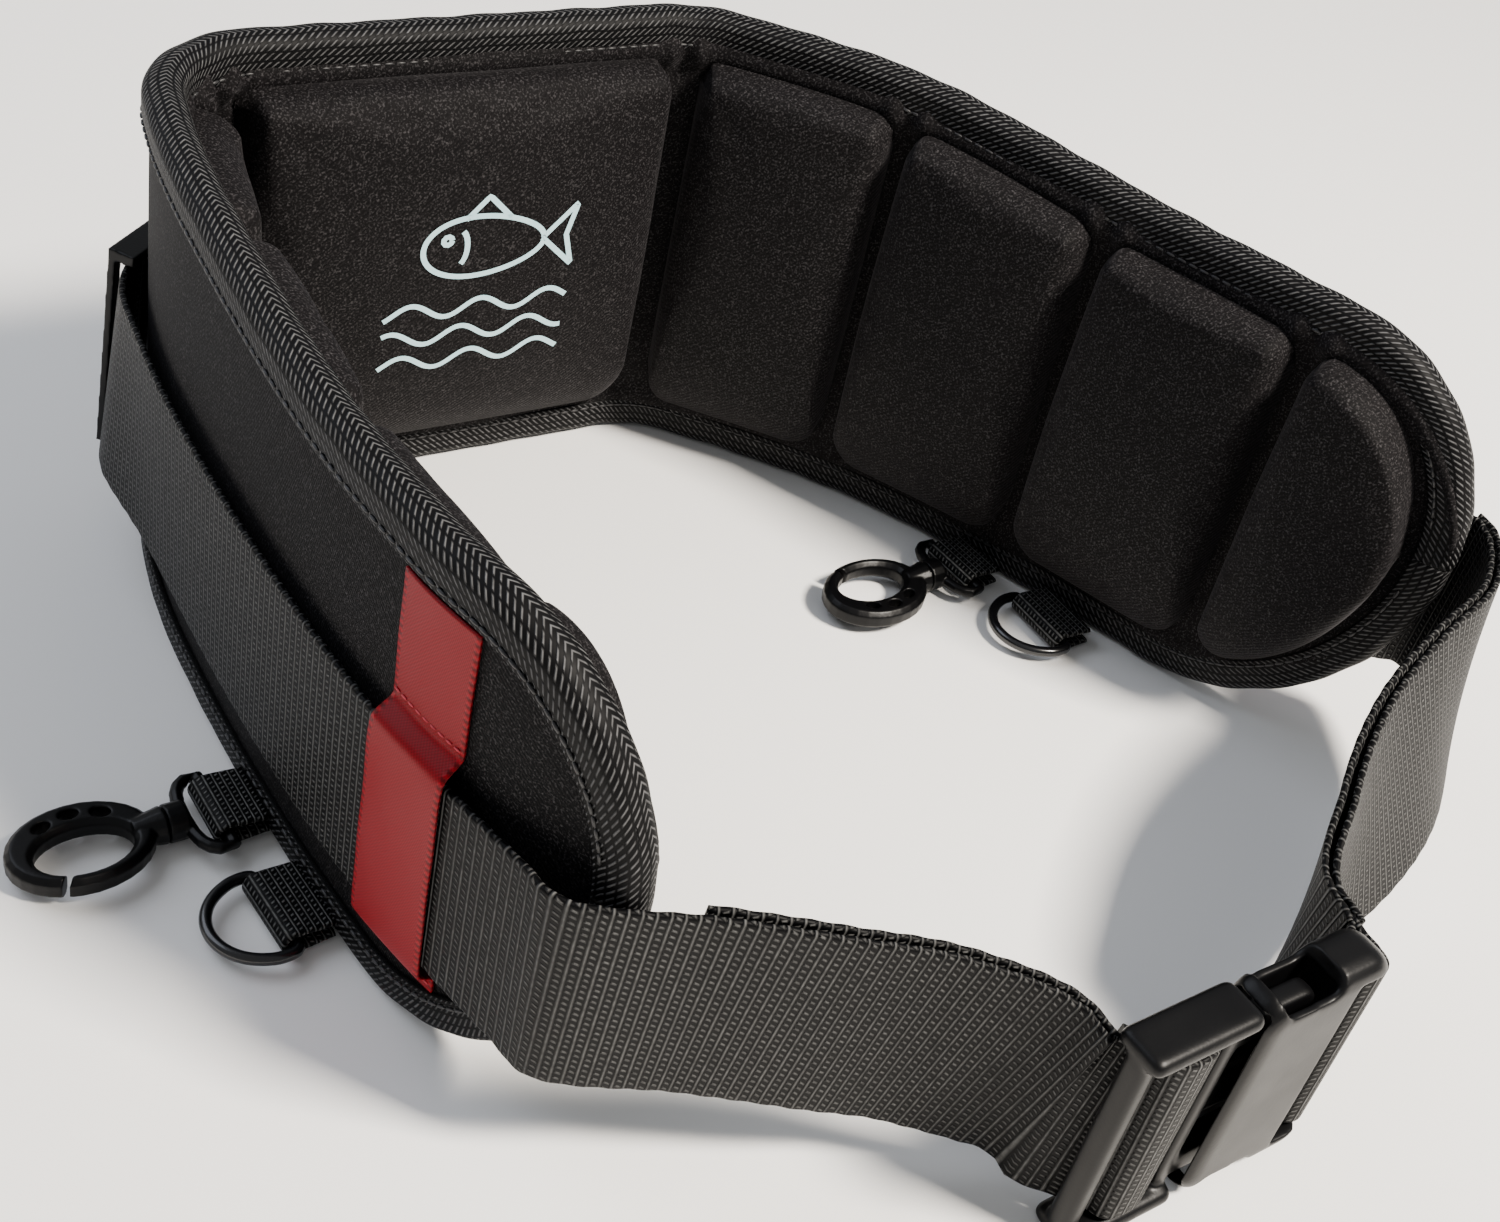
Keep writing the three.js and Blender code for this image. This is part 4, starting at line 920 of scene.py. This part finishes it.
# %% Left strap
KEEPER_PLACE = 252.0
LAYER_PITCH = WEBBING + 0.9
MALE_END, BUCKLE_HALF, BUCKLE_HEIGHT = -34.0, 34.0, 30.8
END_BAR, CENTRE_BAR, SLOT_WIDTH, MALE_THICKNESS = 4.5, 7.6, 6.4, 6.0
LEFT_RUN = [(0.28, 0.02), (0.5, 0.045), (0.72, 0.075), (0.92, 0.06)]
RIGHT_RUN = [(0.16, -0.066), (0.34, -0.052), (0.56, -0.014), (0.76, 0.024), (0.92, 0.045)]
RUN_DROP = 1.7
LEFT_TAIL, RIGHT_TAIL = 88, 150
LEFT_LIFT, RIGHT_LIFT = 5, 12
RIGHT_LEAN = np.radians(25)


def from_buckle(x, y):
    """Point from the buckle's own axes: x from the male frame to the socket, y toward the wearer."""
    c, t = math.cos(BUCKLE_TURN), math.sin(BUCKLE_TURN)
    return np.array([BUCKLE[0] + c * x - t * y, BUCKLE[1] + t * x + c * y, BUCKLE_HEIGHT]) + SHIFT


def run_points(start, end, run):
    """Points of a free run: a share of the way along the chord, and an offset toward the wearer."""
    chord = (end - start) * [1, 1, 0]
    reach = np.linalg.norm(chord)
    inward = np.array([-chord[1], chord[0], 0]) / reach
    inward = inward if inward[1] > 0 else -inward
    points = [start + (end - start) * share + inward * reach * off for share, off in run]
    for point, (share, _) in zip(points, run):
        point[2] = start[2] + (end[2] - start[2]) * share ** RUN_DROP
    return points


def beside(line, amount):
    """The same line moved sideways in plan."""
    way = unit(np.gradient(line, axis=0) * [1, 1, 0])
    return line + np.stack([-way[:, 1], way[:, 0], np.zeros(len(line))], 1) * amount


def first_part(line, length):
    """Points up to a running length."""
    return line[lengths(line) <= length]


def leaning(line, angle):
    """Upright direction turned about the line's own level direction."""
    way = unit(np.gradient(line, axis=0) * [1, 1, 0])
    return UP * np.cos(angle)[:, None] + np.cross(way, UP) * np.sin(angle)[:, None]


start, leave = KEEPER_PLACE + 0.15, HALF_LENGTH - 12
share = np.array([0, 0.25, 0.5, 0.75, 1])
on_arm_s = start + (leave - start) * share
on_arm = on_belt(-on_arm_s, strap_depth(on_arm_s) - LEFT_LIFT * share ** 2, STRAP_HEIGHT)
behind_bar = MALE_THICKNESS / 2 + CLEARANCE + WEBBING
arrive = from_buckle(MALE_END, behind_bar + WEBBING)
free = through([*on_arm, *run_points(on_arm[-1], arrive, LEFT_RUN), arrive], 1.2)
bar = MALE_END + END_BAR + SLOT_WIDTH + CENTRE_BAR / 2
out = MALE_THICKNESS / 2 + WEBBING / 2 + CLEARANCE
swing = CENTRE_BAR / 2 + SLOT_WIDTH / 2
round_bar = [from_buckle(x, y) for x, y in (
    (MALE_END + END_BAR, behind_bar - 0.6), (bar - swing, 0), (bar - swing * 0.6, -out), (bar + swing * 0.6, -out),
    (bar + swing, 0), (bar + swing * 0.7, out + 0.4), (MALE_END + END_BAR + 2, behind_bar + LAYER_PITCH - 0.2))]
tail = first_part(beside(free[::-1], -LAYER_PITCH), LEFT_TAIL)
left_line = np.vstack([free[:-3], through([free[-4], *round_bar, tail[3]], 0.8)[3:-1], tail[3:]])
lay_strap("strap_left", left_line, UP)

# %% [markdown]
# The right run leans outward between the arm and the socket. It goes round the socket's
# bar, and its tail comes back along the outside.

# %% Right strap
on_arm_s = start + (HALF_LENGTH - start) * share
on_arm = on_belt(on_arm_s, strap_depth(on_arm_s) - RIGHT_LIFT * share ** 2, STRAP_HEIGHT)
bar = BUCKLE_HALF - END_BAR / 2
out = END_BAR * math.sqrt(0.5) + WEBBING / 2 + CLEARANCE
ahead = from_buckle(bar + END_BAR, out + END_BAR)
free = through([*on_arm, *run_points(on_arm[-1], ahead, RIGHT_RUN), ahead], 1.2)
angles = np.radians([10, -20, -50, -80, -110, -140, -170, -200, -230, -260])
round_bar = [from_buckle(bar + out * math.cos(a), out * math.sin(a)) for a in angles]
tail = first_part(beside(free[::-1], -LAYER_PITCH), RIGHT_TAIL)
on_arm_share = (HALF_LENGTH - start) / lengths(free)[-1]


def lean_at(share):
    """Lean of sin(pi x) ** 2, where x runs from 0 at the arm's end to 1 at the buckle."""
    return RIGHT_LEAN * np.sin(np.pi * np.clip((share - on_arm_share) / (1 - on_arm_share), 0, 1)) ** 2


run_share = lengths(free) / lengths(free)[-1]
tail_share = 1 - lengths(tail) / lengths(free)[-1]
turn_line = through([free[-3], *round_bar, tail[2]], 0.8)[2:-1]
right_line = np.vstack([free[:-2], turn_line, tail[2:]])
right_across = np.vstack([leaning(free, lean_at(run_share))[:-2], np.tile(UP, (len(turn_line), 1)),
                          leaning(tail, -lean_at(tail_share))[2:]])
lay_strap("strap_right", right_line, right_across)

# %% [markdown]
# ## Red keepers
# A satin ribbon is sewn down above and below the strap and bridges it. Its line lies in
# the plane across the belt: flat on the panel, out over the strap, and back.

# %% Keepers
RIBBON_HALF = 0.35
KEEPER_INSET = 11.2
SEAM_RISE = 32.5


def make_keeper(side_name, side):
    """Ribbon through a few (depth, height) points, a little narrower midway."""
    over = strap_depth(KEEPER_PLACE) - WEBBING / 2 - 1 - RIBBON_HALF
    flat = -CLEARANCE - RIBBON_HALF
    low, high = edges_at(np.array([KEEPER_PLACE + KEEPER_WIDTH / 2]))
    half = WEBBING_WIDTH / 2
    up, down = STRAP_HEIGHT + half, STRAP_HEIGHT - half
    rows = np.array([[flat, low[0] + KEEPER_INSET], [flat, down - 6.5], [flat - 0.1, down - 5.5],
                     [over + 0.5, down - 2.2], [over, down], [over - 0.2, STRAP_HEIGHT - 8],
                     [over - 0.2, STRAP_HEIGHT + 8], [over, up], [over + 0.5, up + 2.2],
                     [flat - 0.1, up + 5.5], [flat, up + 6.5], [flat, high[0] - KEEPER_INSET]])
    line = through(np.column_stack([rows, np.zeros(len(rows))]), 0.8)[:, :2]
    line[:, 0] = np.minimum(line[:, 0], flat)
    run = lengths(line)
    across = np.linspace(-1, 1, 23)
    bow = 1 - 0.03 * np.sin(np.pi * run / run[-1])
    s = side * KEEPER_PLACE + across * bow[:, None] * KEEPER_WIDTH / 2
    ripple = 0.12 * np.sin(run / 4.1)[:, None] * np.cos(2.4 * across)
    height = np.broadcast_to(line[:, 1:], s.shape)
    outer = on_belt(s, line[:, :1] - RIBBON_HALF + ripple, height)
    inner = on_belt(s, line[:, :1] + 0.3 + ripple, height)
    v = (across + 1) * KEEPER_WIDTH / 2
    uv = np.stack(np.broadcast_arrays(run[:, None], np.append(v, v[::-1])), -1) / 1000
    return tube_surface(side_name + "_keeper_ribbon", np.concatenate([outer, inner[:, ::-1]], 1), uv)


for side_name, side in (("left", -1), ("right", 1)):
    piece = make_keeper(side_name, side)
    dress(piece, ribbon_red, "belt", "ribbon", side_name + "_keeper")
    seam_s = side * KEEPER_PLACE + np.arange(-9.2, 9.3, 2.3)
    rows = [STRAP_HEIGHT + SEAM_RISE, STRAP_HEIGHT - SEAM_RISE]
    centres = np.concatenate([on_belt(seam_s, -CLEARANCE - 0.85, z) for z in rows])
    off = np.concatenate([on_belt(seam_s, -2, z) - on_belt(seam_s, -1, z) for z in rows])
    stitches(side_name + "_keeper_stitches", centres, np.cross(off, UP), off, 1.7, 0.22, red_thread, "ribbon")
print("keepers done")

# %% [markdown]
# ## Hanging hardware
# Each tab is a short piece of narrower webbing folded round a bar. The D-ring is round
# wire bent to a D. Both are swept along a line in the hardware's own axes: x away from
# the panel, y along the bar, z up. The joints give those axes.

# %% Hardware axes
joints = {j["name"]: j for j in frame["joints"]}


def local_axes(joint):
    """Origin on the bar in mm, and the axes x, y and z of what hangs from it."""
    along_bar = unit(-np.array(joint["axis"], float))
    return np.array(joint["pos_m"]) * 1000, np.stack([np.cross(along_bar, UP), along_bar, UP])


def tab_line(bar_radius, reach, thickness):
    """Folded tab: level below the bar, half round it, and level back above it."""
    fold = bar_radius + CLEARANCE + thickness / 2
    angle = np.radians(np.linspace(-90, 90, 15))
    bend = np.stack([fold * np.cos(angle), fold * np.sin(angle)], 1)
    inner = np.linspace(-reach, 0, 8)[:-1]
    lower = np.stack([inner, np.full(7, -fold)], 1)
    upper = np.stack([inner[::-1], np.full(7, fold)], 1)
    line = np.concatenate([lower, bend, upper])
    pinch = 1 - 0.25 * ease(-line[:, 0] / reach)
    return np.stack([line[:, 0], np.zeros(len(line)), line[:, 1] * pinch], 1)


def wire_loop(name, outline, radius, origin, axes, sides=14):
    """Closed round wire along an outline in the plane z = 0 of the given axes."""
    loop = resample(np.vstack([outline, outline[:1]]), 0.7)[:-1]
    way = unit(np.roll(loop, -1, 0) - np.roll(loop, 1, 0))
    side = np.cross(way, UP)
    angle = np.arange(sides) * 2 * np.pi / sides
    rings = loop[:, None] + radius * (side[:, None] * np.cos(angle)[:, None] + UP * np.sin(angle)[:, None])
    return tube_surface(name, origin + rings @ axes, np.zeros((*rings.shape[:2], 2)), capped=False)


def d_outline(width, depth, radius):
    """A D: a straight bar on y and a bow that bulges to x, with small rounded corners."""
    half, bow = width / 2 - radius, depth - radius
    angle = np.radians(np.linspace(-90, 90, 40))
    curve = np.stack([bow * np.cos(angle) ** 0.9, half * np.sin(angle), np.zeros(40)], 1)
    return through(np.vstack([[0, -half * 0.6, 0], [0, -half * 0.92, 0], curve[3:-3:3], [0, half * 0.92, 0],
                              [0, half * 0.6, 0]]), 0.6)


RING_WIRE, RING_WIDTH, RING_DEPTH = 2.8, 27.0, 16.0
TAB_REACH, TAB_THICKNESS = 9.3, 1.4
TABS = (("ring_tab", 20.0, RING_WIRE / 2), ("hook_tab", 17.0, 1.6))
for side_name in ("left", "right"):
    origin, axes = local_axes(joints[side_name + "_ring_swing"])
    ring = wire_loop(side_name + "_d_ring_wire", d_outline(RING_WIDTH, RING_DEPTH, RING_WIRE / 2), RING_WIRE / 2,
                     origin, axes)
    dress(ring, wire, side_name + "_ring", "black_wire", side_name + "_d_ring")
    for kind, width, radius in TABS:
        origin, axes = local_axes(joints[side_name + ("_ring_swing" if kind == "ring_tab" else "_eye_tilt")])
        line = tab_line(radius, TAB_REACH, TAB_THICKNESS)
        node = f"{side_name}_{kind}"
        piece = sweep_ribbon(node + "_webbing", origin + line @ axes, axes[1], width, TAB_THICKNESS)
        dress(piece, narrow_webbing, "belt", "black_webbing", node)
print("rings and tabs done")

# %% [markdown]
# ## Moulded pieces
# The model's faceted solids already have the right shape. A moulded part has no sharp
# edge, so a copy is welded, remade as an even grid of small faces and relaxed.

# %% Moulded pieces from the model
def moulded_copy(node, voxel, rounds):
    """Copy of a node: doubles merged, voxel remeshed, and smoothed a few rounds by averaging neighbours."""
    source = nodes[node]
    piece = new_object(node + "_moulded", source.data.copy())
    weld = piece.modifiers.new("weld", "WELD")
    weld.merge_threshold = 1e-5
    grid = piece.modifiers.new("grid", "REMESH")
    grid.mode = "VOXEL"
    grid.voxel_size = voxel / 1000
    relax = piece.modifiers.new("relax", "SMOOTH")
    relax.factor, relax.iterations = 0.5, rounds
    shaped = bpy.data.meshes.new_from_object(piece.evaluated_get(bpy.context.evaluated_depsgraph_get()))
    piece.modifiers.clear()
    piece.data = shaped
    shaped.shade_smooth()
    dress(piece, moulded, source["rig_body"], "black_plastic", node)
    return len(shaped.polygons)


for node, voxel, rounds in (("buckle_male", 0.4, 40), ("buckle_socket", 0.4, 24), ("strap_slide", 0.35, 6),
                            ("left_snap_hook", 0.3, 6), ("right_snap_hook", 0.3, 6),
                            ("left_swivel_eye", 0.3, 3), ("right_swivel_eye", 0.3, 3)):
    print(node, moulded_copy(node, voxel, rounds), "faces")

# %% [markdown]
# ## Print on the back pad
# A simple fish over three waves in pale ink. The outlines are lines of points on the
# pad's face; each becomes a narrow flat band that is laid on the pad by a ray shot
# from the wearer's side.

# %% Print
INK_RISE, INK_WIDTH = 0.12, 1.5


def ink_band(line, width, tree):
    """Band of the given width along a line in (s, height), dropped on the pad's face."""
    line = resample(np.asarray(line, float), 0.8)
    way = unit(np.gradient(line, axis=0))
    side = np.stack([-way[:, 1], way[:, 0]], 1) * width / 2
    flat = np.stack([line - side, line, line + side], 1)
    start = on_belt(flat[..., 0], 60, flat[..., 1])
    aim = unit(on_belt(flat[..., 0], 0, flat[..., 1]) - start)
    laid = start.copy()
    for index in np.ndindex(flat.shape[:2]):
        hit = tree.ray_cast(Vector(start[index] / 1000), Vector(aim[index]))[0]
        if hit:
            laid[index] = np.array(hit) * 1000 - aim[index] * INK_RISE
    return laid, grid_faces(len(line), 3)


t = np.linspace(0, 2 * np.pi, 60)
body_line = np.stack([4 + 17 * np.cos(t), 78 + 8.5 * np.sin(t) * (1 - 0.18 * np.cos(t))], 1)
tail_line = [[20.5, 78], [30, 87], [27.5, 78], [30, 69], [20.5, 78]]
fin_line = [[-2, 86], [4, 92], [11, 85]]
eye_line = np.stack([-6.5 + 1.2 * np.cos(t), 80.5 + 1.2 * np.sin(t)], 1)
gill_line = np.stack([-3.5 + 2.6 * np.cos(t[:22] - 1.1), 78 + 5.2 * np.sin(t[:22] - 1.1)], 1)
wave = np.linspace(-22, 30, 90)
waves = [np.stack([wave, base + 2.2 * np.sin(wave / 3.1 + phase)], 1)
         for base, phase in ((60, 0), (52, 1.6), (44, 0.4))]
pad = pad_pieces["back_pad"].data
tree = BVHTree.FromPolygons([v.co for v in pad.vertices], [list(p.vertices) for p in pad.polygons])
points, faces, count = [], [], 0
for line in (body_line, tail_line, fin_line, eye_line, gill_line, *waves):
    laid, quads = ink_band(line, INK_WIDTH, tree)
    points.append(laid.reshape(-1, 3))
    faces.append(quads + count)
    count += laid.shape[0] * 3
print_piece = mesh_object("back_pad_print", np.concatenate(points), np.concatenate(faces))
dress(print_piece, ink, "belt", "pad_fabric")
print("print points:", count)
